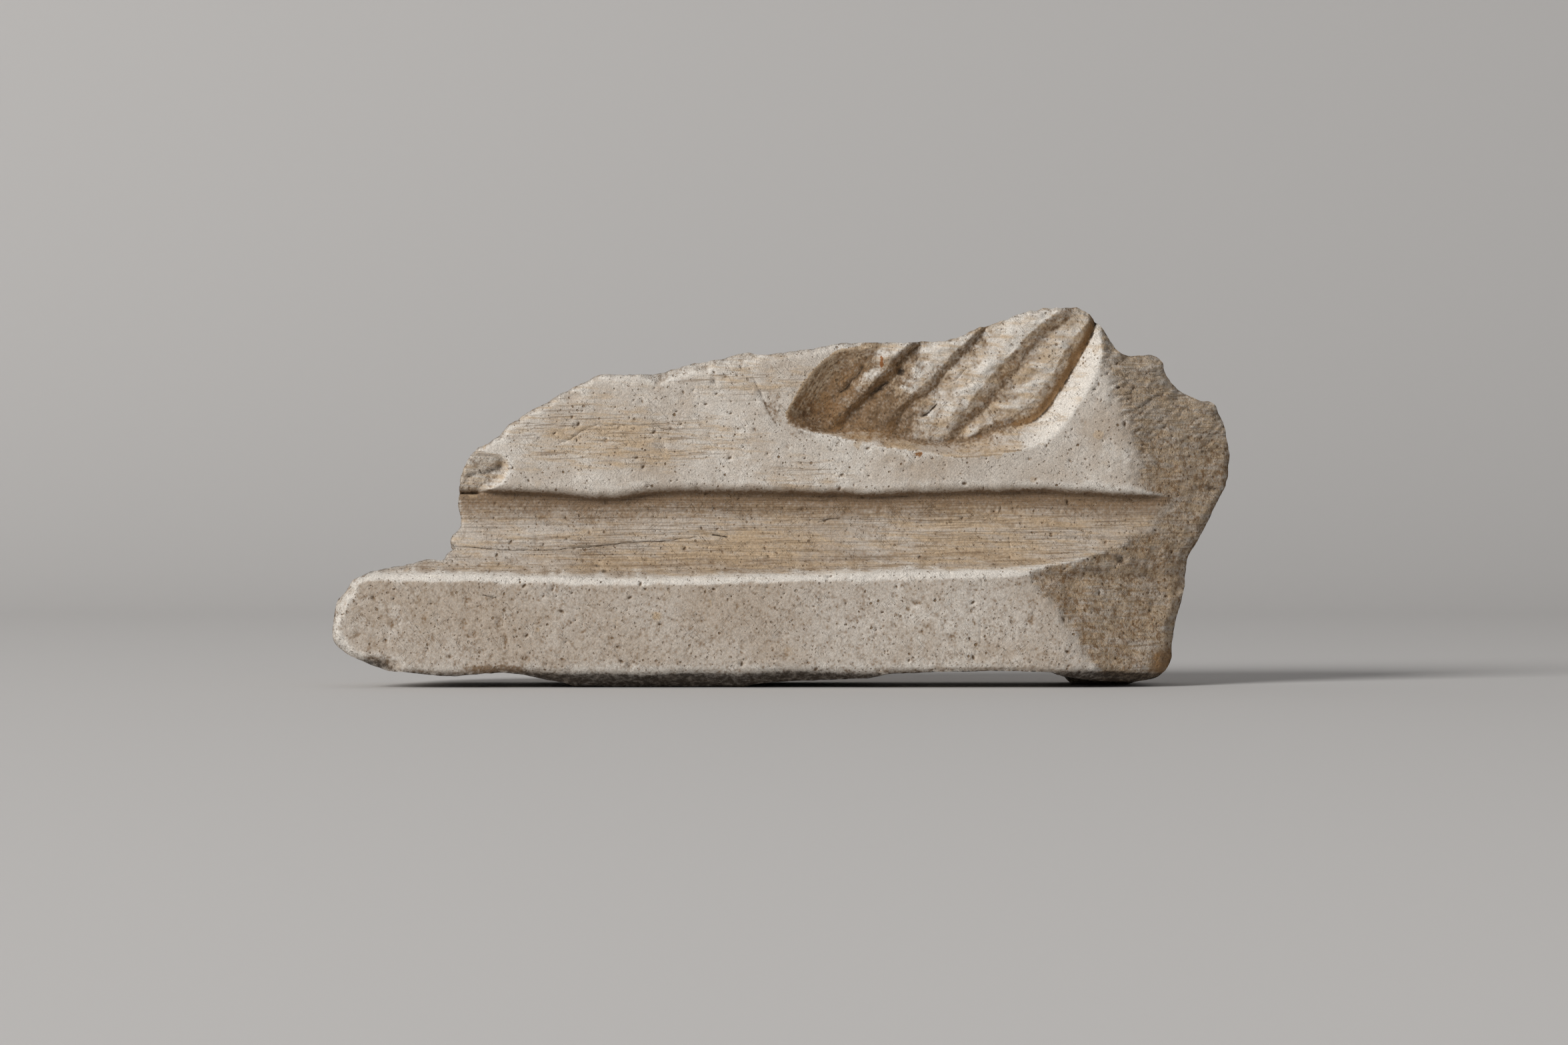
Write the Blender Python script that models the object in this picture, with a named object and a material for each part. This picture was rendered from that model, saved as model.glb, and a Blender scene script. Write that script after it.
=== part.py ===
"""Fragment of a carved limestone tomb relief: one block, broken off on its left, top and right.

From the bottom up its front has a projecting plinth band, a hollow channel below a small lip,
and a set-back field with a sunk, boat-shaped recess in which carved ridges run up to the right.
A rough facet is cut obliquely across the right end. The block stands on its underside.

The front faces -Y, +X is to the right and +Z is up. The origin is the bottom centre of the block.
Places on the front are given as (percent of the length, level). Levels 0 to 1 are the plinth's
height, 1 to 2 the channel's and 2 to 3 the field's. Depths are measured back from the plinth's face.
"""

import bmesh
import bpy
import numpy as np
from mathutils import Vector
from mathutils.geometry import delaunay_2d_cdt
from mathutils.noise import noise

# Driving sizes, in metres
LENGTH = 0.320
PLINTH_HEIGHT = 0.040
CHANNEL_HEIGHT = 0.0285
FIELD_HEIGHT = 0.0666
PLINTH_PROJECTION = 0.017
LIP_DEPTH = 0.005
LIP_RISE = 0.0007
FACET_DEPTH = 0.034
STONE_BEHIND_FACET = 0.026
UNDER_BEVEL_HEIGHT = 0.0062
UNDER_BEVEL_REACH = 0.011
RECESS_DEPTH = 0.0095
FOOT_BLEND = 0.0026
ARRIS_ROUNDING = 0.0016
CHIP_DEPTH = 0.0036
BREAK_ROUGHNESS = 0.0022
BREAK_LUMPS = (0.021, 0.009)
LEFT_TAPER = 0.0165
RIGHT_TAPER = 0.0090
TOP_TAPER = 0.0085

# How sharply the folds rise from their grooves and fall from their crests
RISING_CURVE = 1.7
FALLING_CURVE = 1.15

# Depth gained on the recess's left side, and at the chip's edge, for each unit of distance from the rim
LEFT_WALL_SLOPE = 0.62
CHIP_SLOPES = (0.35, 1.5)

# Worked out from the driving sizes
THICKNESS = FACET_DEPTH + STONE_BEHIND_FACET
ROOT_DEPTH = PLINTH_PROJECTION + LIP_DEPTH
CHANNEL_TOP = PLINTH_HEIGHT + CHANNEL_HEIGHT

# Seeds of the roughness along the length and up
X_SEED = 3.7
Z_SEED = 9.1

# Mesh spacing
OUTLINE_STEP = 0.0050
PLAIN_STEP = 0.0075
CARVED_STEP = 0.0017
RIM_MARGIN = 0.05
SIDE_SHARES = (0.07, 0.20, 0.38, 0.58, 0.79, 1.0)

# The outline of the front, clockwise from the left end's foot
LEFT_END = (
    (1.5, 0.30), (0.2, 0.39), (0.0, 0.51), (0.6, 0.78), (1.6, 0.86), (2.4, 0.95), (4.0, 1.03),
)
TONGUE_TOP = ((7.4, 1.10), (10.5, 1.20), (12.0, 1.18))
CHANNEL_BREAK = ((12.4, 1.25), (13.4, 1.33), (12.5, 1.43), (13.9, 1.56), (13.9, 1.68), (13.4, 1.90))
LEFT_BREAK = (
    (13.6, 2.03), (13.9, 2.11), (15.2, 2.23), (16.8, 2.27), (18.5, 2.32), (19.1, 2.37), (21.9, 2.45),
    (25.0, 2.54), (29.3, 2.64), (35.6, 2.64),
)
TOP_BREAK = (
    (37.9, 2.68), (43.4, 2.73), (45.7, 2.76), (47.3, 2.74), (53.1, 2.78), (56.6, 2.81), (61.3, 2.81),
    (68.0, 2.82), (71.3, 2.88), (73.5, 2.92), (76.9, 2.98), (79.1, 3.00), (83.0, 3.00), (84.3, 2.95),
)
RIGHT_NOTCH = (
    (85.5, 2.89), (86.7, 2.79), (87.7, 2.75), (91.2, 2.75), (92.4, 2.72), (92.6, 2.65), (93.9, 2.57),
    (96.3, 2.51), (98.3, 2.50), (98.9, 2.43),
)
RIGHT_SIDE = (
    (99.5, 2.37), (100.0, 2.21), (99.8, 2.09), (99.0, 2.00), (96.3, 1.46), (95.0, 1.22), (94.8, 0.95),
    (93.0, 0.38), (92.9, 0.23), (92.1, 0.13),
)
FOOT_LINE = (
    (91.1, 0.07), (88.6, 0.04), (84.1, 0.06), (80.7, 0.10), (79.6, 0.14), (73.7, 0.15), (66.3, 0.14),
    (61.1, 0.12), (58.9, 0.08), (51.6, 0.06), (44.2, 0.02), (36.8, 0.0), (32.4, 0.0), (27.2, 0.02),
    (23.5, 0.07), (21.3, 0.11), (18.8, 0.14), (13.3, 0.10), (8.9, 0.13), (6.3, 0.15), (4.4, 0.20),
)
OUTLINE = (
    LEFT_END + TONGUE_TOP + CHANNEL_BREAK + LEFT_BREAK + TOP_BREAK + RIGHT_NOTCH + RIGHT_SIDE + FOOT_LINE
)

# The channel's hollow, as shares of its height and of its depth
CHANNEL_HOLLOW = (
    (0.0, 0.0), (0.02, 0.11), (0.06, 0.26), (0.12, 0.41), (0.21, 0.55), (0.35, 0.68), (0.51, 0.78),
    (0.76, 0.91), (1.0, 1.0),
)

# How far the plinth's arris and the lip run above or below their levels at each percent of the
# length, in percent of the plinth's height
ARRIS_RUN = (
    (0, 0.0), (14, 0.0), (20, -1.5), (30, -3.5), (36, -4.0), (42, -3.2), (50, -1.2), (57, 0.8),
    (65, 2.0), (72, 3.2), (77, 4.8), (82, 8.5), (87, 11.5), (100, 12.5),
)
LIP_RUN = (
    (0, 0.8), (20, 0.8), (24, -0.8), (27, -4.0), (29.5, -5.5), (32, -4.2), (34.5, 0.0), (37, 1.0),
    (45, 0.2), (54, -0.5), (60, -2.8), (64, -0.5), (70, 0.5), (77, 2.0), (80, 1.2), (83, -1.2),
    (87, -3.0), (100, -3.0),
)

# The line from which the facet falls back, from the foot up
FACET_START = (
    (83.2, 0.16), (80.9, 0.47), (78.6, 0.73), (76.2, 0.98), (77.2, 1.10), (77.9, 1.51), (77.4, 1.94),
    (76.5, 2.14), (75.4, 2.36), (72.9, 2.71), (70.8, 3.00),
)
FACET_END = (100.0, 2.21)

# The recess's rim, from the top of its left side round to the top of its right
LEFT_RIM = (
    (59.3, 2.815), (57.5, 2.785), (56.3, 2.78), (55.6, 2.765), (54.6, 2.735), (53.3, 2.68), (51.9, 2.60),
    (50.9, 2.52), (50.2, 2.46), (49.9, 2.42), (50.4, 2.366),
)
BOTTOM_RIM = (
    (50.4, 2.366), (52.4, 2.333), (55.4, 2.312), (58.8, 2.263), (62.4, 2.242), (65.6, 2.219),
    (69.7, 2.188), (72.8, 2.203), (75.1, 2.219), (78.9, 2.269),
)
RIGHT_RIM = (
    (78.9, 2.269), (80.5, 2.333), (81.9, 2.421), (83.3, 2.52), (84.2, 2.60), (85.1, 2.683), (85.7, 2.78),
    (85.7, 2.85), (85.5, 2.92), (85.2, 3.05),
)

# Where the rim is closed, above the top break
RIM_CLOSING = ((74.0, 3.08),)

# The line where the bottom and right walls meet the recess's floor, and its depth there, as shares
WALL_FOOT = (
    (50.8, 2.402), (53.6, 2.353), (55.4, 2.334), (57.7, 2.345), (59.7, 2.349), (61.5, 2.325),
    (63.8, 2.290), (66.1, 2.273), (68.4, 2.281), (70.4, 2.285), (72.2, 2.314), (73.6, 2.347),
    (75.2, 2.363), (77.3, 2.380), (78.4, 2.413), (79.5, 2.467), (80.4, 2.533), (81.6, 2.621),
    (82.7, 2.719), (83.9, 2.818), (84.6, 2.900), (84.9, 2.97), (85.0, 3.05),
)
FOOT_DEPTHS = ((0.0, 0.08), (0.10, 0.44), (0.42, 0.64), (1.0, 0.82))

# The folds on the floor from left to right, a groove and a crest in turn: shares of the recess's
# depth at the line's foot and at its top, then the line
FOLDS = (
    (0.52, 0.20, (
        (53.4, 2.36), (54.4, 2.42), (55.4, 2.484), (56.2, 2.539), (57.4, 2.599), (58.5, 2.670),
        (59.1, 2.725), (59.4, 2.796), (59.6, 2.861),
    )),
    (0.44, 0.08, (
        (54.5, 2.33), (55.6, 2.42), (57.0, 2.473), (58.6, 2.544), (60.3, 2.626), (61.5, 2.697),
        (62.7, 2.752), (64.0, 2.818), (64.7, 2.861),
    )),
    (0.62, 0.42, (
        (55.6, 2.32), (57.0, 2.413), (58.4, 2.484), (59.7, 2.547), (61.3, 2.593), (62.6, 2.651),
        (63.6, 2.730), (65.0, 2.796), (66.1, 2.856),
    )),
    (0.50, 0.22, (
        (59.6, 2.30), (61.3, 2.402), (63.3, 2.500), (65.4, 2.588), (67.0, 2.659), (68.7, 2.755),
        (69.9, 2.811), (71.5, 2.90),
    )),
    (0.62, 0.46, (
        (61.5, 2.27), (62.8, 2.402), (64.3, 2.498), (66.3, 2.555), (67.5, 2.625), (69.3, 2.720),
        (70.9, 2.811), (71.9, 2.856), (73.0, 2.93),
    )),
    (0.52, 0.20, (
        (67.2, 2.22), (68.7, 2.372), (70.2, 2.489), (72.0, 2.581), (73.3, 2.668), (75.1, 2.750),
        (76.3, 2.818), (77.9, 2.900), (79.8, 2.960), (80.9, 3.03),
    )),
    (0.68, 0.46, (
        (68.2, 2.22), (69.3, 2.338), (71.1, 2.407), (72.9, 2.495), (74.0, 2.555), (75.6, 2.655),
        (76.9, 2.747), (78.4, 2.823), (80.2, 2.894), (81.8, 2.943), (83.0, 3.03),
    )),
    (0.60, 0.46, (
        (68.8, 2.24), (70.7, 2.314), (72.9, 2.380), (75.7, 2.424), (77.3, 2.484), (78.6, 2.566),
        (79.8, 2.643), (80.7, 2.730), (81.8, 2.818), (83.2, 2.900), (84.0, 2.960), (84.4, 3.05),
    )),
    (0.64, 0.82, (
        (68.4, 2.281), (70.4, 2.285), (72.2, 2.314), (73.6, 2.347), (75.2, 2.363), (77.3, 2.380),
        (78.4, 2.413), (79.5, 2.467), (80.4, 2.533), (81.6, 2.621), (82.7, 2.719), (83.9, 2.818),
        (84.6, 2.900), (84.9, 2.97), (85.0, 3.05),
    )),
)

# The chip at the field's left end: its rim from the break round to the lip
CHIP_RIM = (
    (13.4, 2.238), (15.1, 2.238), (17.1, 2.226), (18.6, 2.212), (19.2, 2.17), (19.1, 2.11), (18.3, 2.06),
    (17.2, 2.025), (16.0, 1.99),
)
CHIP_CLOSING = ((11.0, 1.99), (11.0, 2.238))

# The two pads of the underside that touch the ground: first and last percent of the length,
# how far they fade at each end, and the shares of the thickness between which they come down
REST_PADS = ((25.0, 47.0, 2.0, 0.0, 0.07), (81.5, 91.0, 1.5, 0.20, 0.58))
PAD_CATCH_LEVEL = 0.12

# The shares of the length over which the ends taper, and the levels at which the sides turn rough
LEFT_TAPER_SHARE = 0.26
RIGHT_TAPER_SHARE = 0.20
ROUGH_LEVELS = (0.15, 0.45)


def height(level):
    """The height of a level above the ground."""
    level = np.asarray(level, float)
    plinth = np.clip(level, 0, 1) * PLINTH_HEIGHT
    channel = np.clip(level - 1, 0, 1) * CHANNEL_HEIGHT
    return plinth + channel + np.maximum(level - 2, 0) * FIELD_HEIGHT


def places(points):
    """(percent, level) points as metres from the left end and from the ground."""
    points = np.array(points, float)
    return np.column_stack((points[:, 0] / 100 * LENGTH, height(points[:, 1])))


def resampled(points, step, closed=False):
    """The corners of a line, with points between them no further apart than step."""
    ends = np.roll(points, -1, axis=0) if closed else points[1:]
    line = []
    for start, end in zip(points, ends):
        count = max(1, round(float(np.linalg.norm(end - start)) / step))
        line += [start + (end - start) * i / count for i in range(count)]
    return np.array(line if closed else line + [points[-1]])


def eased(points):
    """An open line with its corners cut off twice."""
    for _ in range(2):
        near = points[:-1] * 0.75 + points[1:] * 0.25
        far = points[:-1] * 0.25 + points[1:] * 0.75
        cut = np.stack((near, far), axis=1).reshape(-1, 2)
        points = np.vstack((points[:1], cut, points[-1:]))
    return points


def distance(x, z, line):
    """The distance of each place to a line, and the share of the line at its nearest point."""
    best = np.full(x.shape, np.inf)
    along = np.zeros(x.shape)
    passed = 0.0
    for start, end in zip(line, line[1:]):
        run = end - start
        length = float(np.hypot(*run))
        share = ((x - start[0]) * run[0] + (z - start[1]) * run[1]) / length**2
        share = np.clip(share, 0, 1)
        gap = np.hypot(x - start[0] - share * run[0], z - start[1] - share * run[1])
        along = np.where(gap < best, passed + share * length, along)
        best = np.minimum(best, gap)
        passed += length
    return best, along / passed


def inside(x, z, loop):
    """Whether each place lies inside a closed loop."""
    crossings = np.zeros(x.shape, bool)
    for start, end in zip(loop, np.roll(loop, -1, axis=0)):
        spans = (start[1] > z) != (end[1] > z)
        if start[1] != end[1]:
            meets = start[0] + (z - start[1]) / (end[1] - start[1]) * (end[0] - start[0])
            crossings ^= spans & (x < meets)
    return crossings


def soft_max(a, b, rounding):
    """The larger of two depths, with the edge between them rounded."""
    return (a + b + np.sqrt((a - b) ** 2 + rounding**2)) / 2


def fade(value, start, end):
    """A smooth rise from 0 at start to 1 at end."""
    share = np.clip((value - start) / (end - start), 0, 1)
    return share * share * (3 - 2 * share)


def band_run(x, z):
    """How far the bands run above or below their levels beside each place."""
    percent = x / LENGTH * 100
    arris = np.interp(percent, *np.array(ARRIS_RUN).T)
    lip = np.interp(percent, *np.array(LIP_RUN).T)
    run = arris + (lip - arris) * fade(z, PLINTH_HEIGHT, CHANNEL_TOP)
    return run / 100 * PLINTH_HEIGHT


def profile_depth(x, z):
    """The depth of plinth, channel, lip and field at each place."""
    z = z - band_run(x, z)
    climb = np.clip((z - PLINTH_HEIGHT) / CHANNEL_HEIGHT, 0, 1)
    channel = ROOT_DEPTH * np.interp(climb, *np.array(CHANNEL_HOLLOW).T)
    lip = np.clip((z - CHANNEL_TOP) / LIP_RISE, 0, 1)
    field_edge = np.clip(1 - (z - CHANNEL_TOP - LIP_RISE) / ARRIS_ROUNDING, 0, 1)
    return channel - lip * LIP_DEPTH + lip * field_edge**2 * ARRIS_ROUNDING / 2


def facet_slope():
    """How fast the facet falls back towards the right end."""
    end = places([FACET_END])[0]
    start = places(FACET_START)
    return FACET_DEPTH / (end[0] - np.interp(end[1], start[:, 1], start[:, 0]))


def facet_depth(x, z):
    """How far the facet lies behind the plinth's face at each place."""
    start = places(FACET_START)
    return facet_slope() * (x - np.interp(z, start[:, 1], start[:, 0]))


def fold_depth(x, z):
    """The depth of the recess's floor, whose folds rise slowly from a groove and fall to the next."""
    lines = [eased(places(points)) for _, _, points in FOLDS]
    measured = [distance(x, z, line) for line in lines]
    gaps = [gap for gap, _ in measured]
    depths = [
        RECESS_DEPTH * (low + (high - low) * share)
        for (low, high, _), (_, share) in zip(FOLDS, measured)
    ]
    sunk = np.choose(np.argmin(gaps, axis=0), depths)
    for number in range(len(FOLDS) - 1):
        within = inside(x, z, np.vstack((lines[number], lines[number + 1][::-1])))
        share = gaps[number] / (gaps[number] + gaps[number + 1] + 1e-9)
        rise = share**FALLING_CURVE if number % 2 else 1 - (1 - share) ** RISING_CURVE
        sunk = np.where(within, depths[number] + (depths[number + 1] - depths[number]) * rise, sunk)
    return sunk


def low_rim():
    """The part of the recess's rim above its bottom and right walls."""
    return np.vstack((eased(places(BOTTOM_RIM)), eased(places(RIGHT_RIM))[1:]))


def recess_rim():
    """The whole rim of the recess, from the top of its left side round to above the top break."""
    return np.vstack((eased(places(LEFT_RIM)), low_rim()[1:], places(RIM_CLOSING)))


def recess_depth(x, z):
    """How far the recess is sunk below the field, or nothing outside its rim."""
    foot = eased(places(WALL_FOOT))
    foot_gap, along = distance(x, z, foot)
    foot_depth = RECESS_DEPTH * np.interp(along, *np.array(FOOT_DEPTHS).T)
    rim_gap = distance(x, z, low_rim())[0]
    wall = foot_depth * rim_gap / (rim_gap + foot_gap + 1e-9)
    floor = fold_depth(x, z)
    floor += (foot_depth - floor) * fade(foot_gap, FOOT_BLEND, 0)
    left = distance(x, z, eased(places(LEFT_RIM)))[0] * LEFT_WALL_SLOPE
    on_wall = inside(x, z, np.vstack((foot, low_rim()[::-1])))
    sunk = np.where(on_wall, wall, np.minimum(left, floor))
    return np.where(inside(x, z, recess_rim()), sunk, 0)


def chip_loop():
    """The chip's outline, closed beyond the broken end."""
    return np.vstack((eased(places(CHIP_RIM)), places(CHIP_CLOSING)))


def chip_depth(x, z):
    """The hollow knocked out of the field's left end, steepest behind the right of its rim."""
    gap, share = distance(x, z, eased(places(CHIP_RIM)))
    slope = CHIP_SLOPES[0] + (CHIP_SLOPES[1] - CHIP_SLOPES[0]) * fade(share, 0.35, 0.6)
    return np.where(inside(x, z, chip_loop()), np.minimum(gap * slope, CHIP_DEPTH), 0)


def depth(x, z):
    """The depth of the carved front at each place."""
    carved = profile_depth(x, z) + recess_depth(x, z) + chip_depth(x, z)
    bevel = np.clip(UNDER_BEVEL_HEIGHT - z, 0, None) * UNDER_BEVEL_REACH / UNDER_BEVEL_HEIGHT
    return np.clip(soft_max(carved, facet_depth(x, z), ARRIS_ROUNDING), 0, None) + bevel


def front_rows():
    """The heights at which the plain bands bend."""
    bends = np.array([0.2, 0.5, 0.8, 0.96, 1.0, 1.06, 1.12, 1.21, 1.35, 1.51, 1.76, 1.9, 2.0])
    above_lip = [CHANNEL_TOP + LIP_RISE, CHANNEL_TOP + LIP_RISE + ARRIS_ROUNDING]
    field = height(np.array([2.12, 2.24, 2.36, 2.48, 2.60, 2.72, 2.84, 2.94]))
    return np.concatenate([[UNDER_BEVEL_HEIGHT], height(bends), above_lip, field])


def carved_points():
    """Points along the rims, the folds and the walls' foot, and points spread between them."""
    rim = recess_rim()
    edges = [rim, eased(places(WALL_FOOT)), *(eased(places(points)) for _, _, points in FOLDS)]
    edges.append(eased(places(CHIP_RIM)))
    lines = [resampled(edge, CARVED_STEP) for edge in edges]
    middle = rim.mean(axis=0)
    lines.append(middle + (lines[0] - middle) * (1 + RIM_MARGIN))
    spread = []
    for loop in (rim, chip_loop()):
        low, high = loop.min(axis=0), loop.max(axis=0)
        grid = []
        for number, z in enumerate(np.arange(low[1], high[1], CARVED_STEP * 0.87)):
            columns = np.arange(low[0] + number % 2 * CARVED_STEP / 2, high[0], CARVED_STEP)
            grid += [(x, z) for x in columns]
        grid = np.array(grid)
        spread.append(grid[inside(grid[:, 0], grid[:, 1], loop)])
    return lines, np.vstack(spread)


def facet_edge():
    """The line where the facet meets the bands of the front."""
    channel = [1.0, 1.01, 1.03, 1.05, 1.08, 1.12, 1.16, 1.21, 1.28, 1.35, 1.43, 1.51, 1.63, 1.76, 1.88, 1.97]
    heights = height(np.concatenate([np.linspace(0.2, 0.95, 6), channel, np.linspace(2.05, 2.8, 9)]))
    start = places(FACET_START)
    x = np.interp(heights, start[:, 1], start[:, 0])
    z = heights
    for _ in range(4):
        x = np.interp(z, start[:, 1], start[:, 0]) + profile_depth(x, z) / facet_slope()
        z = heights + band_run(x, heights)
    return np.column_stack((x, z))


def spaced(points, taken, gap):
    """The points that keep a gap to every point already taken."""
    offsets = points[:, None, :] - taken[None, :, :]
    return points[np.hypot(offsets[..., 0], offsets[..., 1]).min(axis=1) > gap]


def front_points(outline):
    """All the places of the front's mesh: first the outline, then its features, then plain rows."""
    lines, spread = carved_points()
    columns = np.linspace(0, LENGTH, round(LENGTH / PLAIN_STEP) + 1)
    rows = np.vstack([np.column_stack((columns, z + band_run(columns, z))) for z in front_rows()])
    rows = rows[~inside(rows[:, 0], rows[:, 1], recess_rim())]
    taken = outline
    groups = [*lines, spread, facet_edge(), rows]
    gaps = [CARVED_STEP * 0.6] * (len(lines) + 1) + [PLAIN_STEP * 0.3] * 2
    for group, gap in zip(groups, gaps):
        group = group[inside(group[:, 0], group[:, 1], outline)]
        taken = np.vstack([taken, spaced(group, taken, gap)])
    return taken


def roughness(x, y, z, seed):
    """Broken stone's uneven surface, in two sizes of lumps."""
    place = Vector((x, y, z))
    large, small = BREAK_LUMPS
    offset = Vector((seed, -seed, 2 * seed))
    return noise(place / large + offset) + small / large * noise(place / small + offset)


def side_place(x, z, front, share):
    """Where a place on the front's outline lies once it is a share of the way to the back."""
    y = front + (THICKNESS - front) * share
    rough = BREAK_ROUGHNESS * fade(share, 0, SIDE_SHARES[1])
    low_level, high_level = ROUGH_LEVELS
    above = fade(z, low_level * PLINTH_HEIGHT, high_level * PLINTH_HEIGHT)
    taper = LEFT_TAPER * fade(x, LEFT_TAPER_SHARE * LENGTH, 0)
    taper -= RIGHT_TAPER * fade(x, (1 - RIGHT_TAPER_SHARE) * LENGTH, LENGTH)
    new_x = x + taper * share + rough * roughness(x, y, z, X_SEED)
    sink = TOP_TAPER * z / float(height(3))
    new_z = z - sink * share * above + rough * above * roughness(x, y, z, Z_SEED)
    catch = PAD_CATCH_LEVEL * PLINTH_HEIGHT
    for first, last, fading, begins, ends in REST_PADS:
        percent = x / LENGTH * 100
        across = fade(percent, first, first + fading) * fade(percent, last, last - fading)
        new_z *= 1 - across * fade(z, 2 * catch, catch) * fade(share, begins, ends)
    return new_x, y, new_z


def open_edge(mesh):
    """The vertices around the front's open edge, in order."""
    edge = next(edge for edge in mesh.edges if edge.is_boundary)
    loop = [edge.verts[0]]
    vertex = edge.verts[1]
    while vertex is not loop[0]:
        loop.append(vertex)
        edge = next(other for other in vertex.link_edges if other.is_boundary and other is not edge)
        vertex = edge.other_vert(vertex)
    return loop


def stone_material():
    material = bpy.data.materials.new("limestone")
    material.use_nodes = True
    shader = material.node_tree.nodes["Principled BSDF"]
    shader.inputs["Base Color"].default_value = (0.42, 0.34, 0.26, 1)
    shader.inputs["Roughness"].default_value = 0.9
    shader.inputs["Metallic"].default_value = 0.0
    return material


def add_front(mesh):
    """The carved front, as triangles between the outline and the points within it."""
    outline = resampled(places(OUTLINE), OUTLINE_STEP, closed=True)
    points = front_points(outline)
    loop = [list(range(len(outline)))]
    in_mm = [Vector(point) for point in points * 1000]
    places_mm, _, triangles, *_ = delaunay_2d_cdt(in_mm, [], loop, 1, 1e-5)
    x = np.array([place.x for place in places_mm]) / 1000
    z = np.array([place.y for place in places_mm]) / 1000
    depths = depth(x, z)
    vertices = [mesh.verts.new(place) for place in zip(x, depths, z)]
    for triangle in triangles:
        mesh.faces.new([vertices[corner] for corner in triangle])


def add_sides_and_back(mesh):
    """Broken and dressed sides from the front's edge to a flat back."""
    edge = open_edge(mesh)
    before = edge
    for share in SIDE_SHARES:
        ring = []
        for vertex in edge:
            ring.append(mesh.verts.new(side_place(vertex.co.x, vertex.co.z, vertex.co.y, share)))
        for i, corner in enumerate(ring):
            mesh.faces.new((before[i - 1], before[i], corner, ring[i - 1]))
        before = ring
    mesh.faces.new(before)


def relief_block():
    mesh = bmesh.new()
    add_front(mesh)
    add_sides_and_back(mesh)
    for vertex in mesh.verts:
        vertex.co.x -= LENGTH / 2
        vertex.co.y -= THICKNESS / 2
    bmesh.ops.triangulate(mesh, faces=mesh.faces[:])
    bmesh.ops.recalc_face_normals(mesh, faces=mesh.faces[:])
    data = bpy.data.meshes.new("relief_block")
    mesh.to_mesh(data)
    mesh.free()
    data.materials.append(stone_material())
    block = bpy.data.objects.new("relief_block", data)
    bpy.context.scene.collection.objects.link(block)
    return block


for old in list(bpy.data.objects):
    bpy.data.objects.remove(old, do_unlink=True)
relief_block()
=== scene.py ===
"""The looks of a broken limestone relief fragment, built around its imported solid.

The stone's one piece keeps the solid's form and adds what is finer: worn arrises, tool lines, pits,
cracks, broken edges and stains. Lengths are in millimetres, taken as shares of the solid's box, and
places on the front are (percent of the length, level), where levels 0 to 1 are the plinth, 1 to 2
the channel and 2 to 3 the field. Depths are measured back from the plinth's face.
"""

import bpy
import numpy as np
from mathutils import Euler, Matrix
from mathutils import Vector
from mathutils import kdtree
from mathutils.geometry import delaunay_2d_cdt
from mathutils.noise import noise


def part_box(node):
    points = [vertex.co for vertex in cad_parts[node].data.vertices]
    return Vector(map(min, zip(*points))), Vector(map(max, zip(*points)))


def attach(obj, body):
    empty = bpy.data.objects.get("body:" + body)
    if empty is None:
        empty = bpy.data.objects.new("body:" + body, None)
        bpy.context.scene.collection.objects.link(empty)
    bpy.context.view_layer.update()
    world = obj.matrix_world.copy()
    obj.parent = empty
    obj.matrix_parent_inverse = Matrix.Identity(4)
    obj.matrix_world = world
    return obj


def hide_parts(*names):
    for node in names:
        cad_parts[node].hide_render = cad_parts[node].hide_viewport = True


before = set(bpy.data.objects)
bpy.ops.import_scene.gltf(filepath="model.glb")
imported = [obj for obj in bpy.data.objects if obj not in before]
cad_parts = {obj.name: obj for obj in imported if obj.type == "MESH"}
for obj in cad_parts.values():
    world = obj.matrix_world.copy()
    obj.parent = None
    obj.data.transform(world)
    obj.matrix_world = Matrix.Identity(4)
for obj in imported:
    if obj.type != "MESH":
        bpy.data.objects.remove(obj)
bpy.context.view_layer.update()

NODE = "relief_block"
MM = 1000

# The block's sizes, as shares of the solid's box
box_low, box_high = (np.array(corner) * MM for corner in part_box(NODE))
LENGTH, THICKNESS, TOTAL_HEIGHT = box_high - box_low
PLINTH_HEIGHT = TOTAL_HEIGHT * 0.2961
CHANNEL_HEIGHT = TOTAL_HEIGHT * 0.2110
FIELD_HEIGHT = TOTAL_HEIGHT - PLINTH_HEIGHT - CHANNEL_HEIGHT
CHANNEL_TOP = PLINTH_HEIGHT + CHANNEL_HEIGHT
LIP_DEPTH = THICKNESS * 0.0833
ROOT_DEPTH = THICKNESS * 0.3667
FACET_DEPTH = THICKNESS * 0.5667
UNDER_BEVEL_HEIGHT = TOTAL_HEIGHT * 0.0459
UNDER_BEVEL_REACH = THICKNESS * 0.1833
RECESS_DEPTH = THICKNESS * 0.1583
CHIP_DEPTH = THICKNESS * 0.0600
LEFT_TAPER = LENGTH * 0.0516
RIGHT_TAPER = LENGTH * 0.0281
TOP_TAPER = TOTAL_HEIGHT * 0.0629

# Edges, walls and breaks
LIP_RISE = 1.1
LIP_ROUNDING = 2.8
ARRIS_ROUNDING = 3.2
BREAK_ROUGHNESS = 2.2
BREAK_LUMPS = (21.0, 9.0)
FALLING_CURVE = 1.15
RISING_CURVE = 1.7
LEFT_WALL_SLOPE = 0.62
RIM_ROUNDING = 0.7
WALL_ROUNDING = 0.12
FOOT_ROUNDING = 0.9
X_SEED = 3.7
Z_SEED = 9.1

# Tool marks: rasp lines in the recess, and the claw chisel's furrows on the facet
RASP_PERIOD = 1.25
FURROW_SLANT = 28
FURROW_PERIOD = 2.2
FURROW_DEPTH = 0.50

# Noise, turned off the stone's own axes so that its rows don't show
NOISE_TURN = (0.6, 0.9, 0.4)
LATTICE_TURN = np.array(Euler(NOISE_TURN).to_matrix())
LATTICE_SIZE = 32
NOISE_GAIN = 1.6

# Keeps shares of two gaps from being divided by zero
NEAR_ZERO = 1e-6

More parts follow.
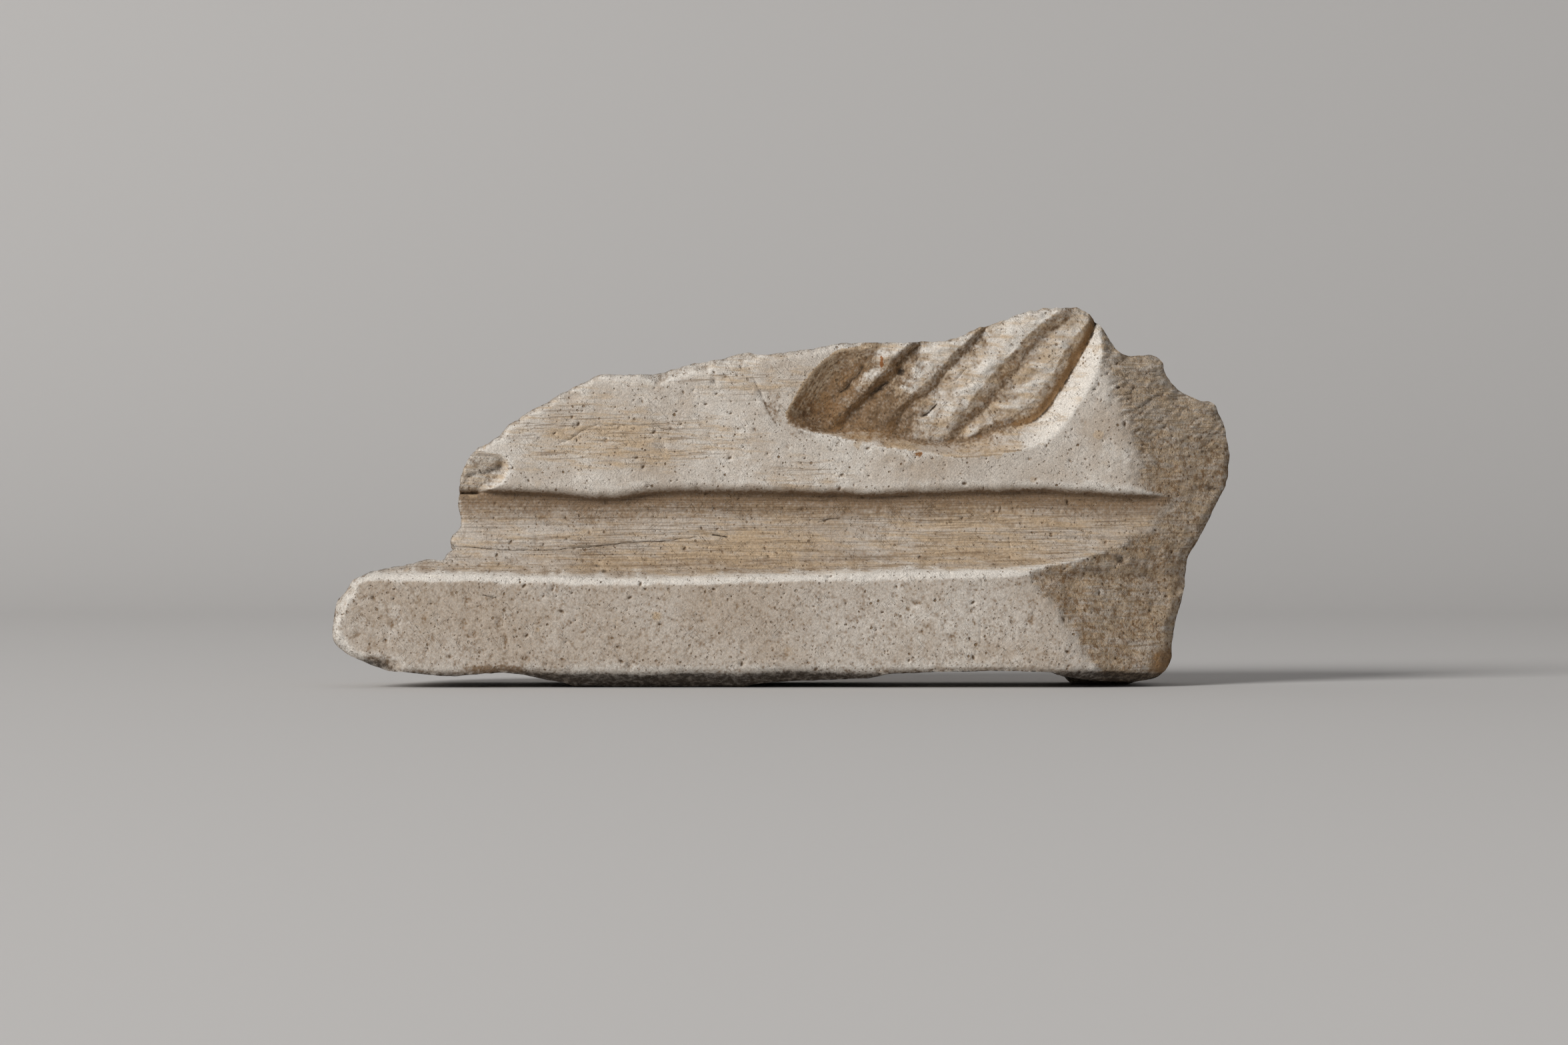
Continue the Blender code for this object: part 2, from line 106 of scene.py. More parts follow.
# The outline of the front, clockwise from the left end's foot
LEFT_END = (
    (1.5, 0.30), (0.2, 0.39), (0.0, 0.51), (0.6, 0.78), (1.6, 0.86), (2.4, 0.95), (4.0, 1.03),
)
TONGUE_TOP = ((7.4, 1.10), (10.5, 1.20), (12.0, 1.18))
CHANNEL_BREAK = ((12.4, 1.25), (13.4, 1.33), (12.5, 1.43), (13.9, 1.56), (13.9, 1.68), (13.4, 1.90))
LEFT_BREAK = (
    (13.6, 2.03), (13.9, 2.11), (15.2, 2.23), (16.8, 2.27), (18.5, 2.32), (19.1, 2.37), (21.9, 2.45),
    (25.0, 2.54), (29.3, 2.64), (35.6, 2.64),
)
TOP_BREAK = (
    (37.9, 2.68), (43.4, 2.73), (45.7, 2.76), (47.3, 2.74), (53.1, 2.78), (56.6, 2.81), (61.3, 2.81),
    (68.0, 2.82), (71.3, 2.88), (73.5, 2.92), (76.9, 2.98), (79.1, 3.00), (83.0, 3.00), (84.3, 2.95),
)
RIGHT_NOTCH = (
    (85.5, 2.89), (86.7, 2.79), (87.7, 2.75), (91.2, 2.75), (92.4, 2.72), (92.6, 2.65), (93.9, 2.57),
    (96.3, 2.51), (98.3, 2.50), (98.9, 2.43),
)
RIGHT_SIDE = (
    (99.5, 2.37), (100.0, 2.21), (99.8, 2.09), (99.0, 2.00), (96.3, 1.46), (95.0, 1.22), (94.8, 0.95),
    (93.0, 0.38), (92.9, 0.23), (92.1, 0.13),
)
FOOT_LINE = (
    (91.1, 0.07), (88.6, 0.04), (84.1, 0.06), (80.7, 0.10), (79.6, 0.14), (73.7, 0.15), (66.3, 0.14),
    (61.1, 0.12), (58.9, 0.08), (51.6, 0.06), (44.2, 0.02), (36.8, 0.0), (32.4, 0.0), (27.2, 0.02),
    (23.5, 0.07), (21.3, 0.11), (18.8, 0.14), (13.3, 0.10), (8.9, 0.13), (6.3, 0.15), (4.4, 0.20),
)
OUTLINE = (
    LEFT_END + TONGUE_TOP + CHANNEL_BREAK + LEFT_BREAK + TOP_BREAK + RIGHT_NOTCH + RIGHT_SIDE + FOOT_LINE
)

# The channel's hollow, as shares of its height and of its depth
CHANNEL_HOLLOW = (
    (0.0, 0.0), (0.02, 0.11), (0.06, 0.26), (0.12, 0.41), (0.21, 0.55), (0.35, 0.68), (0.51, 0.78),
    (0.76, 0.91), (1.0, 1.0),
)

# How far the plinth's arris and the lip run above or below their levels at each percent of the
# length, in percent of the plinth's height
ARRIS_RUN = (
    (0, 0.0), (14, 0.0), (20, -1.5), (30, -3.5), (36, -4.0), (42, -3.2), (50, -1.2), (57, 0.8),
    (65, 2.0), (72, 3.2), (77, 4.8), (82, 8.5), (87, 11.5), (100, 12.5),
)
LIP_RUN = (
    (0, 0.8), (20, 0.8), (24, -0.8), (27, -4.0), (29.5, -5.5), (32, -4.2), (34.5, 0.0), (37, 1.0),
    (45, 0.2), (54, -0.5), (60, -2.8), (64, -0.5), (70, 0.5), (77, 2.0), (80, 1.2), (83, -1.2),
    (87, -3.0), (100, -3.0),
)

# How wide the front's edge is broken off, in millimetres at each percent
EDGE_WEAR = (
    (0, 3.4), (4, 1.8), (13, 1.0), (20, 1.6), (34, 1.0), (36, 3.6), (45, 3.2), (48, 1.2), (58, 2.2),
    (64, 1.2), (84, 1.6), (86, 4.6), (94, 4.2), (96, 2.2), (100, 2.4),
)

# The line from which the facet falls back, from the foot up
FACET_START = (
    (83.2, 0.16), (80.9, 0.47), (78.6, 0.73), (76.2, 0.98), (77.2, 1.10), (77.9, 1.51), (77.4, 1.94),
    (76.5, 2.14), (75.4, 2.36), (72.9, 2.71), (70.8, 3.00),
)
FACET_END = (100.0, 2.21)
FACET_ZONE = (
    (78.0, 0.0), (75.5, 1.0), (76.0, 2.2), (84.0, 2.5), (84.8, 3.0), (102.0, 3.0), (102.0, 0.0),
)

# The recess's rim, from the top of its left side round to the top of its right
LEFT_RIM = (
    (59.3, 2.815), (57.5, 2.785), (56.3, 2.78), (55.6, 2.765), (54.6, 2.735), (53.3, 2.68), (51.9, 2.60),
    (50.9, 2.52), (50.2, 2.46), (49.9, 2.42), (50.4, 2.366),
)
BOTTOM_RIM = (
    (50.4, 2.366), (52.4, 2.333), (55.4, 2.312), (58.8, 2.263), (62.4, 2.242), (65.6, 2.219),
    (69.7, 2.188), (72.8, 2.203), (75.1, 2.219), (78.9, 2.269),
)
RIGHT_RIM = (
    (78.9, 2.269), (80.5, 2.333), (81.9, 2.421), (83.3, 2.52), (84.2, 2.60), (85.1, 2.683), (85.7, 2.78),
    (85.7, 2.85), (85.5, 2.92), (85.2, 3.05),
)

# Where the rim is closed, above the top break
RIM_CLOSING = ((74.0, 3.08),)

# The line where the bottom and right walls meet the recess's floor, and its depth there, as shares
WALL_FOOT = (
    (50.8, 2.402), (53.6, 2.353), (55.4, 2.334), (57.7, 2.345), (59.7, 2.349), (61.5, 2.325),
    (63.8, 2.290), (66.1, 2.273), (68.4, 2.281), (70.4, 2.285), (72.2, 2.314), (73.6, 2.347),
    (75.2, 2.363), (77.3, 2.380), (78.4, 2.413), (79.5, 2.467), (80.4, 2.533), (81.6, 2.621),
    (82.7, 2.719), (83.9, 2.818), (84.6, 2.900), (84.9, 2.97), (85.0, 3.05),
)
FOOT_DEPTHS = ((0.0, 0.08), (0.10, 0.44), (0.42, 0.64), (1.0, 0.82))

# The folds on the floor from left to right, a groove and a crest in turn: shares of the recess's
# depth at the line's foot and at its top, then the line
FOLDS = (
    (0.52, 0.20, (
        (53.4, 2.36), (54.4, 2.42), (55.4, 2.484), (56.2, 2.539), (57.4, 2.599), (58.5, 2.670),
        (59.1, 2.725), (59.4, 2.796), (59.6, 2.861),
    )),
    (0.44, 0.08, (
        (54.5, 2.33), (55.6, 2.42), (57.0, 2.473), (58.6, 2.544), (60.3, 2.626), (61.5, 2.697),
        (62.7, 2.752), (64.0, 2.818), (64.7, 2.861),
    )),
    (0.62, 0.42, (
        (55.6, 2.32), (57.0, 2.413), (58.4, 2.484), (59.7, 2.547), (61.3, 2.593), (62.6, 2.651),
        (63.6, 2.730), (65.0, 2.796), (66.1, 2.856),
    )),
    (0.50, 0.22, (
        (59.6, 2.30), (61.3, 2.402), (63.3, 2.500), (65.4, 2.588), (67.0, 2.659), (68.7, 2.755),
        (69.9, 2.811), (71.5, 2.90),
    )),
    (0.62, 0.46, (
        (61.5, 2.27), (62.8, 2.402), (64.3, 2.498), (66.3, 2.555), (67.5, 2.625), (69.3, 2.720),
        (70.9, 2.811), (71.9, 2.856), (73.0, 2.93),
    )),
    (0.52, 0.20, (
        (67.2, 2.22), (68.7, 2.372), (70.2, 2.489), (72.0, 2.581), (73.3, 2.668), (75.1, 2.750),
        (76.3, 2.818), (77.9, 2.900), (79.8, 2.960), (80.9, 3.03),
    )),
    (0.68, 0.46, (
        (68.2, 2.22), (69.3, 2.338), (71.1, 2.407), (72.9, 2.495), (74.0, 2.555), (75.6, 2.655),
        (76.9, 2.747), (78.4, 2.823), (80.2, 2.894), (81.8, 2.943), (83.0, 3.03),
    )),
    (0.60, 0.46, (
        (68.8, 2.24), (70.7, 2.314), (72.9, 2.380), (75.7, 2.424), (77.3, 2.484), (78.6, 2.566),
        (79.8, 2.643), (80.7, 2.730), (81.8, 2.818), (83.2, 2.900), (84.0, 2.960), (84.4, 3.05),
    )),
    (0.64, 0.82, WALL_FOOT[8:]),
)

# How pale each fold is at its foot and at its top
FOLD_PALENESS = ((0.10, 0.85), (0.08, 0.72), (0.62, 0.95), (0.42, 0.62))

# Bare white caps where the folds stand out: place, half widths, the turn of the first, and rise
CAPS = (
    ((59.3, 2.625), (6.6, 1.7), 50, 0.5), ((61.0, 2.755), (5.6, 2.4), 6, 0.4),
    ((64.5, 2.655), (3.0, 1.4), -48, 0.7), ((63.5, 2.56), (3.2, 0.9), -20, 0.4),
    ((65.6, 2.775), (2.6, 1.4), -5, 0.5), ((67.6, 2.775), (3.6, 1.8), 35, 0.4),
    ((68.5, 2.46), (4.4, 2.0), 62, 0.8), ((70.7, 2.572), (4.6, 1.8), 18, 0.9),
    ((72.7, 2.690), (5.6, 2.9), 36, 1.0), ((75.1, 2.811), (5.2, 2.7), -12, 0.8),
    ((76.6, 2.93), (5.5, 2.6), 20, 0.5), ((80.7, 2.807), (3.0, 1.4), -28, 1.1),
    ((78.4, 2.686), (4.2, 1.4), -6, 1.1), ((77.5, 2.588), (3.3, 1.5), 22, 1.1),
    ((74.8, 2.473), (5.2, 1.1), -4, 0.9), ((70.8, 2.335), (2.6, 1.3), 25, 0.7),
)

# The chip at the field's left end: its rim from the break round to the lip
CHIP_RIM = (
    (13.4, 2.238), (15.1, 2.238), (17.1, 2.226), (18.6, 2.212), (19.2, 2.17), (19.1, 2.11), (18.3, 2.06),
    (17.2, 2.025), (16.0, 1.99),
)
CHIP_CLOSING = ((11.0, 1.99), (11.0, 2.238))

# The pads of the underside: first and last percent, fading, and the shares where they come down
REST_PADS = ((25.0, 47.0, 2.0, 0.0, 0.07), (81.5, 91.0, 1.5, 0.20, 0.58))
PAD_CATCH_LEVEL = 0.12
LEFT_TAPER_SHARE = 0.26
RIGHT_TAPER_SHARE = 0.20
ROUGH_LEVELS = (0.15, 0.45)

# Mesh spacing, in millimetres
OUTLINE_STEP = 0.85
PLAIN_STEP = 1.10
FACET_STEP = 0.78
CARVED_STEP = 0.56
BACK_STEP = 4.0
CRACK_STEP = 0.5

# Rows along the lip and the arris, as first, last and step in millimetres
LIP_ROWS = (-0.8, 3.2, 0.32)
ARRIS_ROWS = (-2.8, 3.4, 0.55)

# A grid's rows lie this share of a step apart
ROW_SPACING = 0.87

# Rings from the front to the back, closer together behind the front
SIDE_RINGS = 24
RING_CROWDING = 1.35

# Single dents and holes: place, half widths, depth, and how dark they are
DENTS = (
    ((29.1, 1.10), (1.5, 1.0), 1.3, 0.8), ((29.9, 1.04), (1.3, 0.8), 1.0, 0.6),
    ((28.5, 1.15), (0.9, 0.7), 0.7, 0.5), ((54.7, 0.98), (1.2, 1.0), 0.9, 0.5),
    ((22.2, 1.43), (0.9, 2.5), 0.9, 0.35), ((84.4, 2.561), (0.8, 0.8), 1.4, 1.0),
    ((42.0, 2.60), (1.5, 2.2), 0.8, 0.55), ((43.4, 2.63), (1.2, 1.2), 0.5, 0.4),
    ((26.2, 2.522), (4.2, 2.2), 1.3, 0.10), ((36.2, 2.248), (1.6, 4.6), 0.5, 0.25),
    ((32.7, 0.20), (1.3, 2.0), 1.0, 0.6), ((18.5, 0.585), (1.5, 2.6), 0.7, 0.35),
    ((49.5, 0.47), (3.0, 1.8), 0.5, 0.3), ((98.0, 2.03), (3.2, 1.2), 1.0, 0.6),
    ((4.6, 0.20), (11.0, 3.2), 2.4, 0.8), ((87.1, 1.19), (2.0, 2.0), 0.4, 0.9),
    ((62.9, 2.655), (1.9, 1.9), 0.9, 0.9), ((60.4, 2.565), (2.6, 1.0), 0.7, 0.8),
    ((57.0, 2.585), (1.5, 2.6), 0.5, 0.6),
)

# Cracks, slots and scratches: line, half width, depth, how dark, and how far they wander
CRACKS = (
    (((13.2, 1.35), (17.6, 1.305), (21.3, 1.298), (24.3, 1.298), (26.5, 1.323), (29.4, 1.347),
      (31.6, 1.389), (36.8, 1.414), (39.8, 1.463)), 0.26, 0.8, 0.75, 0.3),
    (((24.9, 2.272), (26.4, 2.308), (27.8, 2.351), (29.3, 2.369), (33.8, 2.369), (36.8, 2.354),
      (38.2, 2.333)), 0.38, 0.5, 0.5, 0.6),
    (((45.7, 2.69), (47.1, 2.54), (49.0, 2.362)), 0.9, 0.5, 0.45, 0.3),
    (((65.4, 2.424), (66.2, 2.452), (66.8, 2.482)), 0.75, 1.2, 0.75, 0.8),
    (((68.6, 2.610), (69.4, 2.640), (70.0, 2.664)), 0.50, 0.7, 0.40, 0.8),
    (((42.0, 1.488), (43.3, 1.470)), 0.45, 0.8, 1.0, 0.1),
    (((53.7, 1.653), (54.8, 1.69), (55.7, 1.695)), 0.40, 0.5, 0.8, 0.2),
    (((16.7, 0.82), (18.0, 0.80)), 0.40, 0.6, 0.9, 0.1),
    (((74.8, 1.463), (74.9, 1.34)), 0.35, 0.4, 0.6, 0.2),
    (((71.5, 0.60), (71.4, 0.41)), 0.30, 0.3, 0.4, 0.3),
    (((56.2, 2.545), (57.4, 2.602), (58.5, 2.672)), 1.30, 1.2, 0.62, 1.0),
    (((59.4, 2.535), (60.4, 2.575), (61.3, 2.596)), 0.95, 1.1, 0.62, 1.0),
    (((62.4, 2.690), (63.4, 2.745), (64.6, 2.790)), 0.60, 0.7, 0.40, 0.8),
)

# Stains: which mask they add to, place, half widths and strength
STAINS = (
    ("rust", (64.8, 2.215), (2.1, 0.8), 1.3), ("rust", (60.7, 2.71), (0.8, 2.8), 1.3),
    ("rust", (53.2, 2.43), (11.0, 8.0), 0.42), ("soil_and_shade", (53.0, 2.40), (14.0, 8.5), 0.45),
    ("dark", (53.0, 2.40), (13.0, 8.0), 0.50), ("dark", (60.6, 2.42), (10.0, 7.0), 0.36),
    ("soil_and_shade", (61.0, 2.42), (13.0, 9.0), 0.35), ("amber", (92.3, 0.22), (8.0, 7.0), 0.8),
    ("amber", (64.6, 2.212), (2.6, 0.9), 0.8), ("amber", (53.2, 2.45), (12.0, 9.0), 0.25),
    ("wear_and_highlight", (66.0, 0.60), (62.0, 22.0), 0.48), ("ochre", (25.0, 2.38), (38.0, 24.0), 0.42),
    ("ochre", (40.0, 1.10), (90.0, 5.0), 0.20), ("ochre", (35.3, 2.28), (48.0, 13.0), 0.56),
    ("ochre", (45.0, 2.62), (42.0, 12.0), 0.46), ("ochre", (72.0, 1.45), (44.0, 14.0), 0.48),
    ("ochre", (52.5, 2.10), (22.0, 9.0), 0.5), ("soil_and_shade", (48.6, 2.47), (5.0, 7.0), 0.45),
    ("ochre", (46.0, 1.35), (34.0, 8.0), 0.5), ("ochre", (35.8, 0.63), (2.4, 2.2), 1.0),
    ("soil_and_shade", (18.2, 0.17), (14.0, 2.0), 0.8), ("wear_and_highlight", (6.0, 0.60), (26.0, 18.0), 0.30),
    ("wear_and_highlight", (24.0, 0.60), (40.0, 20.0), 0.16), ("soil_and_shade", (97.0, 2.25), (13.0, 12.0), 0.52),
)

# Small pits scattered over the front: radii and gaps in millimetres, width as a share of length
PIT_SEED = 7
PIT_TRIES = 1500
PIT_RADII = (0.45, 1.25)
PIT_WIDTH = 0.6
PIT_MARGIN = 1.5
PIT_SPACING = 0.7

# Stains of the broken sides and of the sawn back, and painted shade with a little dirt on what lies next
# to the ground
SIDE_SOIL = 0.20
SIDE_OCHRE = 0.45
BACK_SOIL = 0.16
BACK_OCHRE = 0.32
GROUND_DARK = 0.55


def height(level):
    """The height of a level above the ground."""
    level = np.asarray(level, float)
    plinth = np.clip(level, 0, 1) * PLINTH_HEIGHT
    channel = np.clip(level - 1, 0, 1) * CHANNEL_HEIGHT
    return plinth + channel + np.maximum(level - 2, 0) * FIELD_HEIGHT


def places(points):
    """(percent, level) points as millimetres from the left end and from the ground."""
    points = np.array(points, float)
    return np.column_stack((points[:, 0] / 100 * LENGTH, height(points[:, 1])))


def resampled(points, step, closed=False):
    """The corners of a line, with points between them no further apart than step."""
    ends = np.roll(points, -1, axis=0) if closed else points[1:]
    line = []
    for start, end in zip(points, ends):
        count = max(1, round(float(np.linalg.norm(end - start)) / step))
        line += [start + (end - start) * i / count for i in range(count)]
    return np.array(line if closed else line + [points[-1]])


def eased(points, closed=False):
    """A line with its corners cut off twice."""
    for _ in range(2):
        start = points if closed else points[:-1]
        end = np.roll(points, -1, axis=0) if closed else points[1:]
        cut = np.stack((start * 0.75 + end * 0.25, start * 0.25 + end * 0.75), axis=1).reshape(-1, 2)
        points = cut if closed else np.vstack((points[:1], cut, points[-1:]))
    return points


def turned(x, z, angle):
    """Places as seen from axes that are turned by an angle."""
    return x * np.cos(angle) + z * np.sin(angle), z * np.cos(angle) - x * np.sin(angle)


def square_to(run):
    """Unit vectors to the left of each run."""
    return np.column_stack((-run[:, 1], run[:, 0])) / np.hypot(run[:, 0], run[:, 1])[:, None]


def distance(x, z, line):
    """The distance of each place to a line, and the share of the line at its nearest point."""
    best = np.full(x.shape, np.inf)
    along = np.zeros(x.shape)
    passed = 0.0
    for start, end in zip(line, line[1:]):
        run = end - start
        length = float(np.hypot(*run))
        share = ((x - start[0]) * run[0] + (z - start[1]) * run[1]) / length**2
        share = np.clip(share, 0, 1)
        gap = np.hypot(x - start[0] - share * run[0], z - start[1] - share * run[1])
        along = np.where(gap < best, passed + share * length, along)
        best = np.minimum(best, gap)
        passed += length
    return best, along / passed


def inside(x, z, loop):
    """Whether each place lies inside a closed loop."""
    crossings = np.zeros(x.shape, bool)
    for start, end in zip(loop, np.roll(loop, -1, axis=0)):
        spans = (start[1] > z) != (end[1] > z)
        if start[1] != end[1]:
            meets = start[0] + (z - start[1]) / (end[1] - start[1]) * (end[0] - start[0])
            crossings ^= spans & (x < meets)
    return crossings


def near(x, z, line, reach):
    """The numbers of the places that lie within reach of a line's own box."""
    low, high = line.min(axis=0) - reach, line.max(axis=0) + reach
    return np.flatnonzero((x > low[0]) & (x < high[0]) & (z > low[1]) & (z < high[1]))


def flat(x, z):
    """Places on the front as points of no depth."""
    return np.column_stack((x, np.zeros(len(x)), z))


def oval(x, z, place, reaches):
    """How far inside an oval each place lies, from 0 at its edge to 1 at its middle."""
    middle = places([place])[0]
    away = ((x - middle[0]) / reaches[0]) ** 2 + ((z - middle[1]) / reaches[1]) ** 2
    return np.clip(1 - away, 0, 1)


def fade(value, start, end):
    """A smooth rise from 0 at start to 1 at end."""
    share = np.clip((value - start) / (end - start), 0, 1)
    return share * share * (3 - 2 * share)


def lumps(points, size, seed):
    """Smooth noise of about -1 to 1, with lumps of a size in millimetres or of one for each axis."""
    table = np.random.default_rng(seed).normal(size=(LATTICE_SIZE,) * 3 + (3,))
    table /= np.linalg.norm(table, axis=3, keepdims=True)
    place = points / np.asarray(size, float) @ LATTICE_TURN
    cell = np.floor(place).astype(int)
    within = place - cell
    soft = within**3 * (within * (within * 6 - 15) + 10)
    total = np.zeros(len(points))
    for corner in np.ndindex(2, 2, 2):
        x, y, z = ((cell + corner) % LATTICE_SIZE).T
        weight = np.prod(np.where(corner, soft, 1 - soft), axis=1)
        total += weight * np.einsum("ij,ij->i", table[x, y, z], within - corner)
    return total * NOISE_GAIN


def blend(points, *parts):
    """The sum of several noises, each given as its strength, size and seed."""
    return sum(strength * lumps(points, size, seed) for strength, size, seed in parts)


def crumble(points, size, octaves, seed):
    """Noise in octaves, each half as large and a little over half as strong as the one before."""
    total = np.zeros(len(points))
    for octave in range(octaves):
        total += 0.6**octave * lumps(points, size / 2**octave, seed + octave)
    return total


def soft_max(a, b, rounding):
    """The larger of two depths, with the edge between them rounded."""
    return (a + b + np.sqrt((a - b) ** 2 + rounding**2)) / 2


def soft_min(a, b, rounding):
    return -soft_max(-a, -b, rounding)


def profile_depth(z, lip_rounding):
    """The depth of plinth, channel, lip and field at a height."""
    climb = np.clip((z - PLINTH_HEIGHT) / CHANNEL_HEIGHT, 0, 1)
    channel = ROOT_DEPTH * np.interp(climb, *np.array(CHANNEL_HOLLOW).T)
    lip = np.clip((z - CHANNEL_TOP) / LIP_RISE, 0, 1)
    share = np.clip(1 - (z - CHANNEL_TOP - LIP_RISE) / lip_rounding, 0, 1)
    turned = lip_rounding * (1 - np.sqrt(1 - share**2))
    return channel - lip * (LIP_DEPTH - turned)


def facet_depth(x, z):
    end = places([FACET_END])[0]
    start = places(FACET_START)
    slope = FACET_DEPTH / (end[0] - np.interp(end[1], start[:, 1], start[:, 0]))
    return slope * (x - np.interp(z, start[:, 1], start[:, 0]))


def recess_rim():
    """The whole rim of the recess, from the top of its left side round to above the top break."""
    sides = [eased(places(side)) for side in (LEFT_RIM, BOTTOM_RIM, RIGHT_RIM)]
    return np.vstack([sides[0], sides[1][1:], sides[2][1:], places(RIM_CLOSING)])


def fold_form(x, z):
    """The folds' depth, how far down its far side a place is, how near to its groove, and how pale."""
    lines = [eased(places(points)) for _, _, points in FOLDS]
    measured = [distance(x, z, line) for line in lines]
    gaps = [gap for gap, _ in measured]
    depths = [
        RECESS_DEPTH * (low + (high - low) * share)
        for (low, high, _), (_, share) in zip(FOLDS, measured)
    ]
    depth = np.choose(np.argmin(gaps, axis=0), depths)
    falling = np.zeros(len(x))
    rising = np.zeros(len(x))
    paleness = np.zeros(len(x))
    for number in range(len(FOLDS) - 1):
        within = inside(x, z, np.vstack((lines[number], lines[number + 1][::-1])))
        share = gaps[number] / (gaps[number] + gaps[number + 1] + NEAR_ZERO)
        if number % 2:
            rise = share**FALLING_CURVE
            falling = np.where(within, share, falling)
        else:
            rise = 1 - (1 - share) ** RISING_CURVE
            rising = np.where(within, 1 - share, rising)
            foot, top = FOLD_PALENESS[number // 2]
            along = measured[number + 1][1]
            paleness = np.where(within, foot + (top - foot) * fade(along, 0.1, 0.75), paleness)
        between = depths[number] + (depths[number + 1] - depths[number]) * rise
        depth = np.where(within, between, depth)
    return depth, falling, rising, paleness


def cap_form(x, z, at):
    """How much each place belongs to a bare cap, with an uneven edge, and how far it swells."""
    cap = np.zeros(len(x))
    swell = np.zeros(len(x))
    uneven = blend(at, (0.55, 3.8, 56), (0.45, 1.8, 57))
    for place, (along, across), degrees, rise in CAPS:
        middle = places([place])[0]
        u, v = turned(x - middle[0], z - middle[1], np.radians(degrees))
        away = (u / along) ** 2 + (v / across) ** 2
        cap = np.maximum(cap, fade(1.0 - away + uneven, -0.8, 0.8))
        swell = np.maximum(swell, 0.7 * rise * np.exp(-0.7 * away))
    return cap, swell


